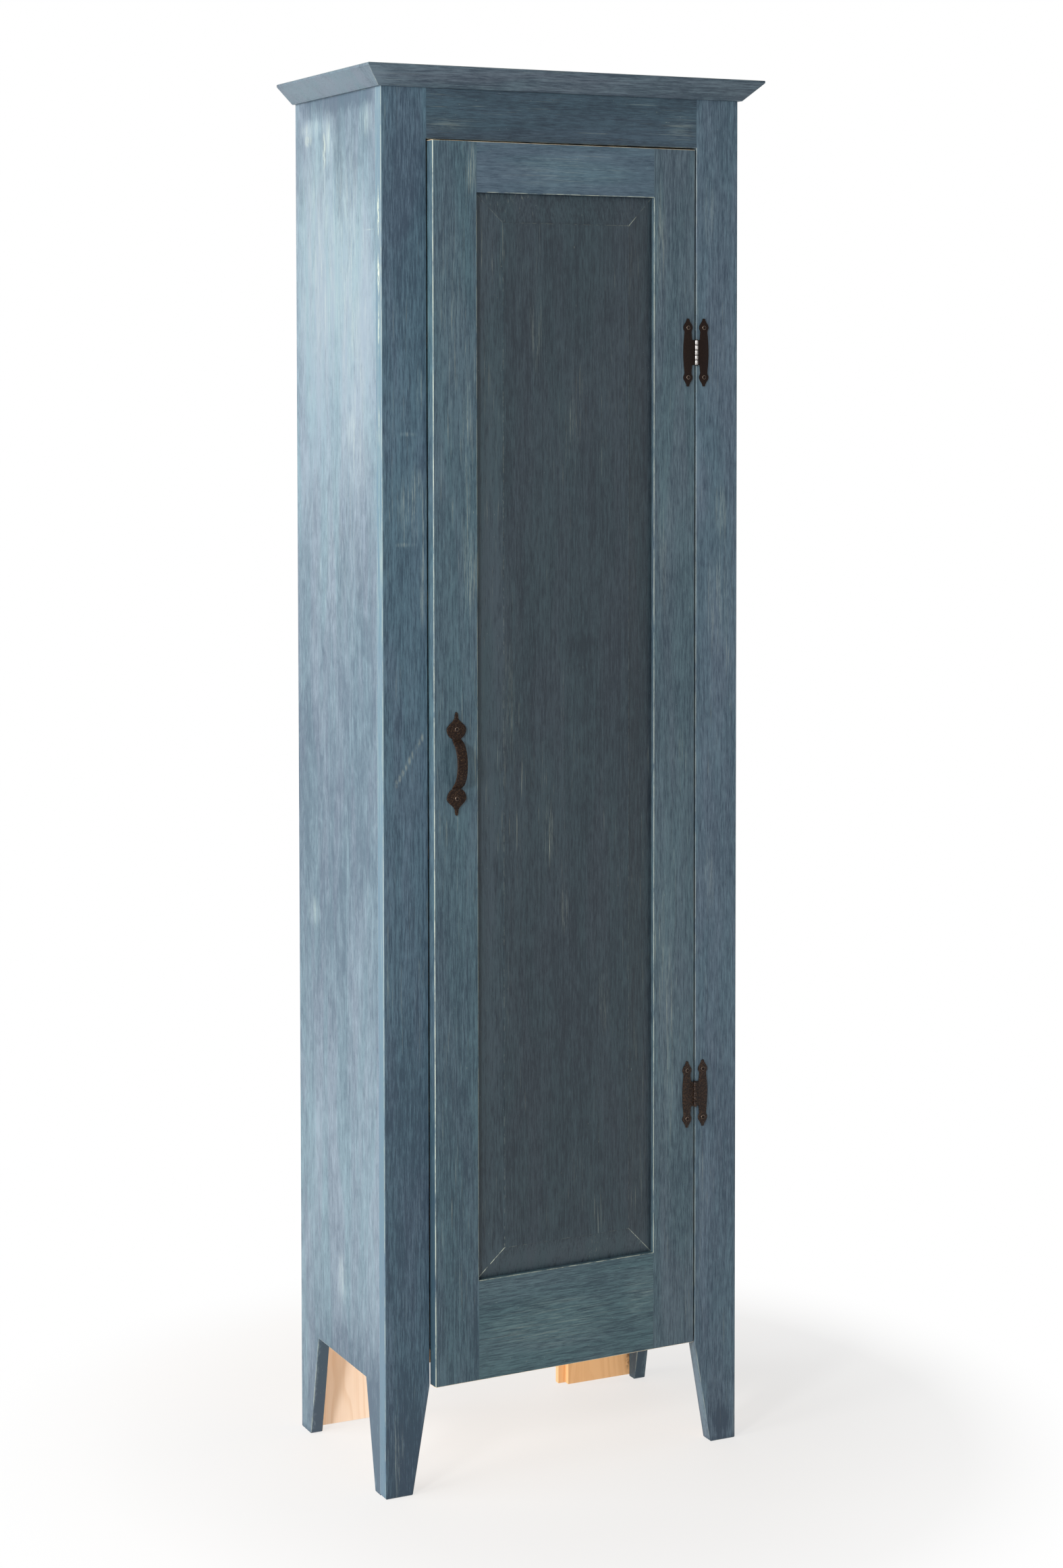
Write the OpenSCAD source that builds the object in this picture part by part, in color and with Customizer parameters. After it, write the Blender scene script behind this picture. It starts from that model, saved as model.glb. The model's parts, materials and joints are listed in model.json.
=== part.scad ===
// A chimney cabinet: a tall, narrow case with one raised-panel door, five shelves inside,
// four tapered feet and a thick top board bevelled on its front and both ends.
// A face frame is glued to two grooved side boards, and half-lapped boards close the back.
// Millimetres: X points right, the front faces -Y and Z points up.
// The origin is on the floor, under the middle of the box round the whole part,
// with the door as it is at rest, a little ajar.

/* [Case] */
// Height from the floor to the top of the top board
total_h = 1829; // [1650:1:2000]
// Width across the two side boards
case_w = 513.5; // [450:0.5:600]
// Depth from the front of the face frame to the back
case_d = 296; // [250:0.5:360]
// Thickness of a side board
side_t = 17; // [14:0.5:22]
// Height of the cut-outs between the feet
foot_h = 140.5; // [100:0.5:170]
// Width of a front foot at the floor, seen from the front
front_foot_w = 38.5; // [28:0.5:50]
// Width of each foot at the floor, seen from the side
side_foot_w = 34; // [27:0.5:50]
// Width of each leg at the top of the side cut-out
side_leg_w = 64; // [52:0.5:90]
// How much the lower corners of the feet are eased
foot_ease = 1.8; // [0.5:0.1:3]

/* [Face frame] */
// Thickness of the face frame
frame_t = 18; // [15:0.5:22]
// Width of a face stile
stile_w = 62.5; // [52:0.5:75]
// Height of the face rail above the door
face_rail_h = 64; // [45:0.5:90]
// Length of the face rail's tenons
face_tenon_l = 30; // [15:1:40]
// How much the arrises that hands and brooms meet are eased
ease = 0.9; // [0.4:0.1:1.5]

/* [Top board] */
// Thickness of the top board
top_t = 26; // [18:0.5:34]
// How far its upper edge stands out past the case, in front and at both ends
top_over = 26.5; // [15:0.5:33]
// How far its flat underside stands out past the case
top_flat = 4.5; // [2:0.5:9]
// Height of the square band above the bevel
top_band = 3.5; // [2:0.5:8]
// Side of the square cleats that hold the top board
cleat_w = 20; // [15:1:28]

/* [Shelves] */
// Thickness of a shelf
shelf_t = 18; // [14:0.5:22]
// Height of the bottom shelf above the door's lower edge
bottom_shelf_up = 22.5; // [12:0.5:45]
// Depth of the shelf grooves in the side boards
dado_d = 6; // [3:0.5:8]

/* [Back boards] */
// Thickness of a back board
back_t = 18; // [12:0.5:20]
// Width of the rabbet in a side board that takes the back boards
rabbet_w = 9; // [5:0.5:11]
// Width of the half-lap lips between back boards
lap_w = 11; // [6:0.5:16]
// Width of an outer back board, from the side board to its lap
outer_board_w = 98; // [60:1:130]
// Gap left in a lap for the boards to swell
board_gap = 1; // [0.5:0.1:2]
// How far the outer back boards stop above the floor
back_floor_gap = 2.5; // [1:0.5:12]

/* [Door] */
// Thickness of the door frame
door_t = 17; // [15:0.5:17.5]
// Gap between the door and the stile that carries it
hinge_gap = 1.6; // [1:0.1:3]
// Gap between the door and the other stile
free_gap = 2.1; // [2:0.1:5]
// Gap between the door and the face rail
top_gap = 2; // [1:0.1:5]
// Width of a door stile
door_stile_w = 62.5; // [54:0.5:80]
// Height of the door's top rail
door_top_rail_h = 64.5; // [45:0.5:90]
// Height of the door's bottom rail
door_bottom_rail_h = 131; // [90:0.5:160]
// Length of the door rails' tenons
door_tenon_l = 28; // [15:1:38]
// Angle by which the door stands ajar at rest
door_ajar = 2.1; // [0:0.1:10]

/* [Raised panel] */
// Depth of the groove that holds the panel
groove_d = 10; // [6:0.5:13]
// Width of the groove
groove_w = 6; // [4:0.5:7]
// Distance from the door's front to the groove
groove_in = 6.5; // [5:0.5:7.5]
// Width of the bevel round the raised field
panel_bevel = 37.5; // [15:0.5:60]
// Height of the little step round the field
panel_step = 0.7; // [0.3:0.1:1.5]
// How far the field lies behind the door's front
panel_set = 0.3; // [0:0.1:2]
// Room between the panel's edge and the bottom of the groove
panel_play = 1.5; // [0.5:0.1:3]

/* [Hinges] */
// Height of the lower hinge's middle above the door's lower edge
lower_hinge_up = 338; // [200:1:450]
// Distance from the door's upper edge down to the upper hinge's middle
upper_hinge_down = 267; // [180:1:400]
// Length of a hinge leaf from tip to tip
leaf_l = 89.5; // [76:0.5:102]
// Thickness of a hinge leaf
leaf_t = 1.8; // [1.4:0.1:2.2]
// Width across a leaf's finial and across its belly
leaf_w = 13.8; // [12:0.1:15]
// Width across a leaf's waist
leaf_waist_w = 9.4; // [8:0.1:10.5]
// Distance from the hinge pin's axis to the middle of a leaf
leaf_out = 12; // [10.5:0.1:14]
// Distance between a leaf's two screws
leaf_screw_gap = 65.5; // [60:0.5:72]
// Diameter of the hinge barrel
barrel_d = 4.8; // [4.4:0.1:5.4]
// Length of the hinge barrel
barrel_l = 33; // [25:0.5:40]
// Diameter of the hinge pin
pin_d = 2.4; // [2:0.1:2.6]

/* [Pull] */
// Height of the pull's middle above the door's lower edge
pull_up = 804.5; // [500:0.5:1000]
// Distance between the pull's two screws
pull_screw_gap = 89; // [80:0.5:110]
// Width across each of the pull's spade ends
spade_w = 27.2; // [22:0.1:34]
// Distance from a pull screw out to the spade's tip
spade_tip_l = 22; // [18:0.5:28]
// Width of the spade's narrow tip
spade_tip_w = 4.6; // [3:0.1:6]
// Thickness of the spade ends
spade_t = 2.4; // [2:0.1:3]
// Width of the bowed strap
strap_w = 14; // [11:0.1:16]
// Thickness of the bowed strap
strap_t = 2.8; // [2:0.1:4]
// Length of the bow between the spades
bow_l = 62; // [50:0.5:68]
// How far the bow stands out from the door
bow_out = 20.5; // [16:0.5:30]

/* [Fixings] */
// Diameter of the screw heads on hinges, pull and catch
small_head_d = 6; // [5:0.1:6.5]
// Diameter of those screws
small_shank_d = 3; // [2.4:0.1:3.5]
// Length of those screws in the wood
small_screw_l = 11; // [8:0.5:12]
// Diameter of the cleat screws' heads
cleat_head_d = 8; // [6.5:0.1:9]
// Diameter of the cleat screws
cleat_shank_d = 4; // [3.5:0.1:4.5]
// How deep the cleat screws go into the boards past the cleats
cleat_bite = 11; // [8:0.5:12]
// Diameter of the nails in the back
nail_d = 2.2; // [1.8:0.1:2.8]
// Diameter of their heads
nail_head_d = 5; // [4:0.1:6]
// How deep the nails go past the back boards
nail_bite = 20; // [12:1:30]
// Width of the magnetic catch with its ears
catch_w = 46; // [40:1:56]
// Depth of the catch, front to back
catch_d = 15; // [12:0.5:22]
// Height of the catch
catch_h = 12; // [10:0.5:16]

/* [Fits] */
// Clearance on each side of a tenon, tongue or shelf in its slot
wood_fit = 0.1; // [0.05:0.05:0.3]
// Clearance round a hinge pin in its knuckles, and round a screw
pin_fit = 0.05; // [0.02:0.01:0.1]
// Gap between neighbouring hinge knuckles
knuckle_gap = 0.2; // [0.1:0.05:0.4]
// Gap between a leaf's plate and the other leaf's knuckles
plate_gap = 0.4; // [0.3:0.1:0.8]
// Gap between the catch and the strike plate when the door is shut
catch_gap = 0.4; // [0.2:0.1:1]

/* [Hidden] */

$fn = 48;
// How far a cutting solid runs past the face that it opens
past = 1;

// Case
case_h = total_h - top_t;
half_w = case_w / 2;
inner_half = half_w - side_t;
open_half = half_w - stile_w;
open_top = case_h - face_rail_h;

// Shelves: the bays between them, and between the top one and the top board, are all the same height
shelf_count = 4;
bottom_shelf_z = foot_h + bottom_shelf_up;
shelf_pitch = (case_h - bottom_shelf_z) / (shelf_count + 1);
function shelf_z(i) = bottom_shelf_z + i * shelf_pitch;
shelf_half = inner_half + dado_d;

// Door, as it stands when shut
door_left = -open_half + free_gap;
door_right = open_half - hinge_gap;
door_bottom = foot_h;
door_top = open_top - top_gap;
door_mid_x = (door_left + door_right) / 2;
panel_open_half = (door_right - door_left) / 2 - door_stile_w;
panel_open_bottom = door_bottom + door_bottom_rail_h;
panel_open_top = door_top - door_top_rail_h;
panel_reach = groove_d - panel_play;

// Hinge pin's axis: in the middle of the gap, with the barrel just clear of the wood behind it
barrel_clear = 0.1;
axis_x = open_half - hinge_gap / 2;
axis_out = barrel_d / 2 + barrel_clear;
hinge_zs = [door_bottom + lower_hinge_up, door_top - upper_hinge_down];
knuckles = 5;
knuckle_pitch = barrel_l / knuckles;
finial_l = (leaf_l - leaf_screw_gap) / 2;

// Pull
pull_x = door_left + door_stile_w / 2;
pull_z = door_bottom + pull_up;

// The pull's bow, or the top board where that reaches further, is the foremost point at rest
pull_reach = axis_out + (axis_x - pull_x + strap_w / 2) * sin(door_ajar) + (bow_out - axis_out) * cos(door_ajar);
front_reach = max(top_over, pull_reach);
face_y = (front_reach - case_d) / 2;
back_y = face_y + case_d;
board_y = face_y + frame_t;
back_in_y = back_y - back_t;
axis_y = face_y - axis_out;

// Back boards: the two middle ones share what the outer ones leave
rabbet_half = inner_half + rabbet_w;
lap_x = inner_half - outer_board_w;

// Cleats
cleat_z = case_h - cleat_w;
side_cleat_back = back_in_y - cleat_w;
side_cleat_l = side_cleat_back - board_y;
cleat_screw_l = cleat_w + cleat_bite;

// Catch, under the second shelf up, and the strike plate behind the pull stile
catch_shelf = 2;
catch_z = shelf_z(catch_shelf);
strike_t = 1.2;
strike_w = 30;
strike_h = 12;
catch_y = face_y + door_t + strike_t + catch_gap;
ear_t = 3;
ear_w = 9;
magnet_w = 22;
magnet_d = 10;
magnet_h = 5;
plate_t = 1.2;
strike_z = catch_z - catch_h / 2;

// Cross recess in the small screws
recess_w = 0.9;
recess_l = 3.2;
recess_d = 1;
small_head_h = (small_head_d - small_shank_d) / 2;
cleat_head_h = (cleat_head_d - cleat_shank_d) / 2;
point_l = 3;
pin_head_t = 0.7;
pin_head_d = barrel_d * 0.8;
nail_head_t = 1;
nail_edge = 18;
rabbet_nails = 7;

wood_blue = [0.22, 0.29, 0.35];
wood_pale = [0.80, 0.62, 0.42];
iron = [0.10, 0.08, 0.07];
steel = [0.66, 0.66, 0.66];

// A box given by its lowest and highest corners
module block(low, high) {
    translate(low) cube(high - low);
}

// Cuts one upright arris at 45 degrees
module arris_cut(x, y, z0, z1) {
    translate([x, y, z0 - past])
        linear_extrude(z1 - z0 + 2 * past)
            rotate(45) square(ease * sqrt(2), center = true);
}

// A countersunk screw that points along +Z with its head at the origin
module screw(head_d, head_h, shank_d, length, grow = 0) {
    union() {
        cylinder(d1 = head_d + 2 * grow, d2 = shank_d + 2 * grow, h = head_h + grow);
        cylinder(d = shank_d + 2 * grow, h = length - point_l + grow);
        translate([0, 0, length - point_l])
            cylinder(d1 = shank_d + 2 * grow, d2 = shank_d / 4, h = point_l + grow);
    }
}

module small_screw(length) {
    difference() {
        screw(small_head_d, small_head_h, small_shank_d, length);
        for (turn = [0, 90])
            rotate(turn) translate([-recess_l / 2, -recess_w / 2, -past]) cube([recess_l, recess_w, recess_d + past]);
    }
}

// What a small screw cuts out of the wood and metal that it holds
module small_screw_hole(length) {
    screw(small_head_d, small_head_h, small_shank_d, length, pin_fit);
    translate([0, 0, -past]) cylinder(d = small_head_d + 2 * pin_fit, h = past + pin_fit / 2);
}

// Turns the shut door about the hinge pins to where it rests
module on_door() {
    translate([axis_x, axis_y, 0])
        rotate(door_ajar)
            translate([-axis_x, -axis_y, 0])
                children();
}

// The side boards

module side_profile() {
    // How far the foot's inner edge has moved sideways at the height where its easing ends
    drift = (side_leg_w - side_foot_w) * foot_ease / foot_h;
    polygon([
        [board_y, 0], [face_y + side_foot_w - foot_ease, 0], [face_y + side_foot_w + drift, foot_ease],
        [face_y + side_leg_w, foot_h], [back_y - side_leg_w, foot_h],
        [back_y - side_foot_w - drift, foot_ease], [back_y - side_foot_w + foot_ease, 0],
        [back_y - foot_ease, 0], [back_y, foot_ease],
        [back_y, case_h], [board_y, case_h]]);
}

// Both side boards are made as the left one, and the right one is its mirror image
module side_board() {
    difference() {
        translate([-half_w, 0, 0]) rotate([90, 0, 90]) linear_extrude(side_t) side_profile();
        block([-rabbet_half, back_in_y, -past], [-inner_half + past, back_y + past, case_h + past]);
        for (i = [0 : shelf_count])
            block([-shelf_half, board_y - past, shelf_z(i)],
                [-inner_half + past, back_in_y + past, shelf_z(i) + shelf_t + wood_fit]);
        side_cleat_screws_at() screw(cleat_head_d, cleat_head_h, cleat_shank_d, cleat_screw_l, pin_fit);
    }
}

module left_side() { color(wood_blue) side_board(); }
module right_side() { color(wood_blue) mirror([1, 0, 0]) side_board(); }

// The face frame

module face_stile() {
    drift = (stile_w - front_foot_w) * foot_ease / foot_h;
    difference() {
        translate([0, face_y + frame_t, 0]) rotate([90, 0, 0]) linear_extrude(frame_t)
            polygon([
                [-half_w, foot_ease], [-half_w + foot_ease, 0], [-half_w + front_foot_w - foot_ease, 0],
                [-half_w + front_foot_w + drift, foot_ease], [-open_half, foot_h],
                [-open_half, case_h], [-half_w, case_h]]);
        block([-open_half - face_tenon_l, tenon_y0(face_y, frame_t) - wood_fit, open_top + tenon_in - wood_fit],
            [-open_half + past, tenon_y1(face_y, frame_t) + wood_fit, case_h - tenon_in + wood_fit]);
        arris_cut(-half_w, face_y, 0, case_h);
        arris_cut(-open_half, face_y, foot_h, open_top);
    }
}

// A rail's tenon is a third of its thickness, in the middle, and steps in from the rail's edges
tenon_in = 12;
function tenon_y0(front, thick) = front + thick / 3;
function tenon_y1(front, thick) = front + thick * 2 / 3;

module left_face_stile() { color(wood_blue) face_stile(); }

module right_face_stile() {
    color(wood_blue) difference() {
        mirror([1, 0, 0]) face_stile();
        frame_screws_at() small_screw_hole(small_screw_l + leaf_t);
    }
}

module face_top_rail() {
    tenon_half = open_half + face_tenon_l - wood_fit;
    color(wood_blue) union() {
        block([-open_half, face_y, open_top], [open_half, face_y + frame_t, case_h]);
        block([-tenon_half, tenon_y0(face_y, frame_t), open_top + tenon_in],
            [tenon_half, tenon_y1(face_y, frame_t), case_h - tenon_in]);
    }
}

// The top board: two bevelled outlines, one along it and one across it, meet in mitres at its corners

module top_board() {
    color(wood_blue) difference() {
        intersection() {
            translate([0, back_y, case_h]) rotate([90, 0, 0])
                linear_extrude(case_d + top_over)
                    polygon([
                        [-half_w - top_flat, 0], [half_w + top_flat, 0],
                        [half_w + top_over, top_t - top_band], [half_w + top_over, top_t],
                        [-half_w - top_over, top_t], [-half_w - top_over, top_t - top_band]]);
            translate([-half_w - top_over, 0, case_h]) rotate([90, 0, 90])
                linear_extrude(case_w + 2 * top_over)
                    polygon([
                        [face_y - top_flat, 0], [back_y, 0], [back_y, top_t],
                        [face_y - top_over, top_t], [face_y - top_over, top_t - top_band]]);
        }
        top_screws_at() screw(cleat_head_d, cleat_head_h, cleat_shank_d, cleat_screw_l, pin_fit);
    }
}

// Cleats under the top board

module side_cleat() {
    difference() {
        block([-inner_half, board_y, cleat_z], [-inner_half + cleat_w, side_cleat_back, case_h]);
        side_cleat_screws_at() screw(cleat_head_d, cleat_head_h, cleat_shank_d, cleat_screw_l, pin_fit);
        top_screws_at() screw(cleat_head_d, cleat_head_h, cleat_shank_d, cleat_screw_l, pin_fit);
    }
}

module left_top_cleat() { color(wood_pale) side_cleat(); }
module right_top_cleat() { color(wood_pale) mirror([1, 0, 0]) side_cleat(); }

module rear_top_cleat() {
    color(wood_pale) difference() {
        block([-inner_half, side_cleat_back, cleat_z], [inner_half, back_in_y, case_h]);
        top_screws_at() screw(cleat_head_d, cleat_head_h, cleat_shank_d, cleat_screw_l, pin_fit);
    }
}

// Where the screws stand along a side cleat, as shares of its length
side_screw_shares = [0.15, 0.85];
top_screw_shares = [0.3, 0.7];

// Places of the two screws that go sideways through the left cleat into the left side board
module side_cleat_screws_at() {
    for (share = side_screw_shares)
        translate([-inner_half + cleat_w, board_y + side_cleat_l * share, cleat_z + cleat_w / 2])
            rotate([0, -90, 0]) children();
}

// Places of the screws that go up into the top board: two through each side cleat and two through the rear one
module top_screws_at() {
    for (side = [-1, 1], share = top_screw_shares)
        translate([side * (inner_half - cleat_w / 2), board_y + side_cleat_l * share, cleat_z]) children();
    for (side = [-1, 1])
        translate([side * inner_half / 2, side_cleat_back + cleat_w / 2, cleat_z]) children();
}

module cleat_screws() {
    color(steel) for (flip = [0, 1])
        mirror([flip, 0, 0]) side_cleat_screws_at()
            screw(cleat_head_d, cleat_head_h, cleat_shank_d, cleat_screw_l);
}

module top_screws() {
    color(steel) top_screws_at() screw(cleat_head_d, cleat_head_h, cleat_shank_d, cleat_screw_l);
}

// Shelves

module shelf(i) {
    color(wood_pale) difference() {
        block([-shelf_half, board_y, shelf_z(i)], [shelf_half, back_in_y, shelf_z(i) + shelf_t]);
        if (i == catch_shelf)
            catch_screws_at() small_screw_hole(small_screw_l + ear_t);
    }
}

module bottom_shelf() { shelf(0); }
module shelf_1() { shelf(1); }
module shelf_2() { shelf(2); }
module shelf_3() { shelf(3); }
module shelf_4() { shelf(4); }

// Back boards: a lip on the rear half of one board lies behind the front half of the next

module back_board(x0, x1, bottom, left_lap, right_lap) {
    mid_y = back_in_y + back_t / 2;
    color(wood_pale) union() {
        block([x0, back_in_y, bottom], [x1, back_y, case_h]);
        if (left_lap == "rear")
            block([x0 - lap_w, mid_y + wood_fit, bottom], [x0 + past, back_y, case_h]);
        if (left_lap == "front")
            block([x0 - lap_w, back_in_y, bottom], [x0 + past, mid_y - wood_fit, case_h]);
        if (right_lap == "rear")
            block([x1 - past, mid_y + wood_fit, bottom], [x1 + lap_w, back_y, case_h]);
        if (right_lap == "front")
            block([x1 - past, back_in_y, bottom], [x1 + lap_w, mid_y - wood_fit, case_h]);
    }
}

// Where a board's full thickness ends beside a lap: the other board's lip and the gap lie between
lap_room = lap_w + board_gap;

module back_board_1() { back_board(-rabbet_half + board_gap / 2, -lap_x, back_floor_gap, "none", "rear"); }
module back_board_2() { back_board(-lap_x + lap_room, -lap_room, bottom_shelf_z, "front", "front"); }
module back_board_3() { back_board(0, lap_x - lap_room, bottom_shelf_z, "rear", "front"); }
module back_board_4() { back_board(lap_x, rabbet_half - board_gap / 2, back_floor_gap, "rear", "none"); }

// A nail driven from behind, with its head flush
module nail_at(x, z) {
    length = back_t + nail_bite;
    translate([x, back_y, z]) rotate([90, 0, 0]) union() {
        cylinder(d = nail_head_d, h = nail_head_t);
        cylinder(d = nail_d, h = length - point_l);
        translate([0, 0, length - point_l]) cylinder(d1 = nail_d, d2 = nail_d / 4, h = point_l);
    }
}

// Two nails a board at each shelf and at the rear cleat, and a row into each side board's rabbet
module back_nails() {
    spans = [
        [-inner_half, -lap_x], [-lap_x + lap_room, -lap_room],
        [0, lap_x - lap_room], [lap_x, inner_half]];
    levels = concat([for (i = [0 : shelf_count]) shelf_z(i) + shelf_t / 2], [cleat_z + cleat_w / 2]);
    rabbet_x = inner_half + rabbet_w / 2;
    color(steel) {
        for (span = spans, z = levels, x = [span[0] + nail_edge, span[1] - nail_edge])
            nail_at(x, z);
        for (side = [-1, 1], i = [0 : rabbet_nails - 1])
            nail_at(side * rabbet_x, foot_h / 2 + i * (case_h - foot_h) / rabbet_nails);
    }
}

// Hinges: an H hinge has two upright leaves with spade tips, joined by a barrel of five knuckles

// Half the height of a leaf's rounded lobe, and half the width of its drawn tip
lobe_h = 6.2;
leaf_tip = 1.5;

// Half the width of a leaf at height h above its middle: belly, waist, rounded lobe and drawn tip
function leaf_half(h) =
    let (
        screw_h = leaf_screw_gap / 2,
        waist = leaf_waist_w / 2,
        lobe = leaf_w / 2,
        tip = leaf_tip)
    h < screw_h - lobe_h * sqrt(1 - pow(waist / lobe, 2)) ?
        waist + (lobe - waist) * cos(90 * h / (screw_h - lobe_h / 2)) :
    h < screw_h ?
        lobe * sqrt(1 - pow((screw_h - h) / lobe_h, 2)) :
        tip + (lobe - tip) * (1 + cos(180 * (h - screw_h) / finial_l)) / 2;

leaf_steps = 40;

module leaf_outline() {
    hs = [for (i = [0 : leaf_steps]) (2 * i / leaf_steps - 1) * leaf_l / 2];
    polygon(concat(
        [for (h = hs) [leaf_half(abs(h)), h]],
        [for (i = [leaf_steps : -1 : 0]) [-leaf_half(abs(hs[i])), hs[i]]]));
}

// A leaf on the side given by -1 or 1, with the knuckles numbered in the list
module hinge_leaf(side, z, own) {
    tab_in = leaf_out - leaf_w / 4;
    plate_edge = barrel_d / 2 + plate_gap;
    difference() {
        union() {
            translate([axis_x + side * leaf_out, face_y, z]) rotate([90, 0, 0])
                linear_extrude(leaf_t) leaf_outline();
            block([axis_x + min(side * plate_edge, side * tab_in), face_y - leaf_t, z - barrel_l / 2],
                [axis_x + max(side * plate_edge, side * tab_in), face_y, z + barrel_l / 2]);
            for (i = own) {
                z0 = z - barrel_l / 2 + i * knuckle_pitch + knuckle_gap / 2;
                z1 = z0 + knuckle_pitch - knuckle_gap;
                translate([axis_x, axis_y, z0]) cylinder(d = barrel_d, h = z1 - z0);
                block([min(axis_x, axis_x + side * tab_in), face_y - leaf_t, z0],
                    [max(axis_x, axis_x + side * tab_in), face_y, z1]);
            }
        }
        translate([axis_x, axis_y, z - barrel_l / 2 - past])
            cylinder(d = pin_d + 2 * pin_fit, h = barrel_l + 2 * past);
        leaf_screws_at(side, [z]) small_screw_hole(small_screw_l + leaf_t);
    }
}

module leaf_screws_at(side, zs) {
    for (z = zs, end = [-1, 1])
        translate([axis_x + side * leaf_out, face_y - leaf_t, z + end * leaf_screw_gap / 2])
            rotate([-90, 0, 0]) children();
}

module frame_screws_at() { leaf_screws_at(1, hinge_zs) children(); }
module door_screws_at() { leaf_screws_at(-1, hinge_zs) children(); }

frame_knuckles = [0, 2, 4];
door_knuckles = [1, 3];

module lower_hinge_frame_leaf() { color(iron) hinge_leaf(1, hinge_zs[0], frame_knuckles); }
module upper_hinge_frame_leaf() { color(iron) hinge_leaf(1, hinge_zs[1], frame_knuckles); }
module lower_hinge_door_leaf() { color(iron) on_door() hinge_leaf(-1, hinge_zs[0], door_knuckles); }
module upper_hinge_door_leaf() { color(iron) on_door() hinge_leaf(-1, hinge_zs[1], door_knuckles); }

// A pin with a flattened head at each end, on the outermost knuckles
module hinge_pin(z) {
    pin_l = barrel_l - knuckle_gap;
    color(steel) translate([axis_x, axis_y, z - pin_l / 2]) union() {
        cylinder(d = pin_d, h = pin_l);
        for (end = [-pin_head_t, pin_l])
            translate([0, 0, end]) cylinder(d = pin_head_d, h = pin_head_t);
    }
}

module lower_hinge_pin() { hinge_pin(hinge_zs[0]); }
module upper_hinge_pin() { hinge_pin(hinge_zs[1]); }

module frame_hinge_screws() { color(iron) frame_screws_at() small_screw(small_screw_l + leaf_t); }
module door_hinge_screws() { color(iron) on_door() door_screws_at() small_screw(small_screw_l + leaf_t); }

// The door frame: grooved stiles with blind mortises, and rails with tenons

groove_y0 = face_y + groove_in;
groove_y1 = groove_y0 + groove_w;

// Both stiles are made as the left one, on the outside edge at x0
module door_stile(x0) {
    x1 = x0 + door_stile_w;
    mortise_x = x1 - door_tenon_l;
    difference() {
        block([x0, face_y, door_bottom], [x1, face_y + door_t, door_top]);
        block([x1 - groove_d, groove_y0, panel_open_bottom - groove_d],
            [x1 + past, groove_y1, panel_open_top + groove_d]);
        block([mortise_x, groove_y0, door_bottom + tenon_in - wood_fit],
            [x1 + past, groove_y1, panel_open_bottom - groove_d]);
        block([mortise_x, groove_y0, panel_open_top + groove_d],
            [x1 + past, groove_y1, door_top - tenon_in + wood_fit]);
        arris_cut(x0, face_y, door_bottom, door_top);
    }
}

module door_pull_stile() {
    color(wood_blue) on_door() difference() {
        door_stile(door_left);
        pull_screws_at() small_screw_hole(small_screw_l + spade_t);
        strike_screw_at() small_screw_hole(small_screw_l);
    }
}

module door_hinge_stile() {
    color(wood_blue) on_door() difference() {
        mirror([1, 0, 0]) door_stile(-door_right);
        door_screws_at() small_screw_hole(small_screw_l + leaf_t);
    }
}

// A rail from z0 to z1 whose grooved edge is at the height given, above or below it
module door_rail(z0, z1, groove_z) {
    x0 = door_left + door_stile_w;
    x1 = door_right - door_stile_w;
    reach = door_tenon_l - wood_fit;
    tongue_low = z0 + (groove_z == z0 ? groove_d : tenon_in);
    tongue_high = z1 - (groove_z == z1 ? groove_d : tenon_in);
    difference() {
        union() {
            block([x0, face_y, z0], [x1, face_y + door_t, z1]);
            block([x0 - reach, groove_y0 + wood_fit, tongue_low], [x1 + reach, groove_y1 - wood_fit, tongue_high]);
        }
        block([x0 - past, groove_y0, groove_z - groove_d], [x1 + past, groove_y1, groove_z + groove_d]);
    }
}

module door_top_rail() { color(wood_blue) on_door() door_rail(panel_open_top, door_top, panel_open_top); }
module door_bottom_rail() { color(wood_blue) on_door() door_rail(door_bottom, panel_open_bottom, panel_open_bottom); }

// The raised panel's outline between two edges of its opening: tongue, bevel, little step and field
module panel_profile(low, high) {
    tongue = groove_y0 + wood_fit;
    back = groove_y1 - wood_fit;
    field = face_y + panel_set;
    polygon([
        [low - panel_reach, tongue], [low, tongue],
        [low + panel_bevel, field + panel_step], [low + panel_bevel, field],
        [high - panel_bevel, field], [high - panel_bevel, field + panel_step],
        [high, tongue], [high + panel_reach, tongue],
        [high + panel_reach, back], [low - panel_reach, back]]);
}

module door_panel() {
    x0 = door_mid_x - panel_open_half;
    x1 = door_mid_x + panel_open_half;
    z0 = panel_open_bottom;
    z1 = panel_open_top;
    color(wood_blue) on_door() intersection() {
        translate([0, 0, z0 - panel_reach])
            linear_extrude(z1 - z0 + 2 * panel_reach) panel_profile(x0, x1);
        translate([x1 + panel_reach, 0, 0]) rotate([0, -90, 0])
            linear_extrude(x1 - x0 + 2 * panel_reach) panel_profile(z0, z1);
    }
}

// The pull: two spades screwed to the stile, and a bowed strap between them

// How far above its screw a spade has drawn in to the width of its tip
spade_taper_l = spade_tip_l * 0.7;
// How much narrower the spade's neck is than the strap that stands on it
neck_in = 1;

// Half the width of a spade at height h above its screw, on the way to its tip
function spade_half(h) =
    let (
        lobe = spade_w / 2,
        tip = spade_tip_w / 2,
        neck_l = spade_taper_l)
    h < 0 ? sqrt(max(0, pow(lobe, 2) - h * h)) :
    h < neck_l ? tip + (lobe - tip) * (1 + cos(180 * h / neck_l)) / 2 :
    h < spade_tip_l - tip ? tip :
    sqrt(max(0, tip * tip - pow(h - spade_tip_l + tip, 2)));

spade_steps = 44;

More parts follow.
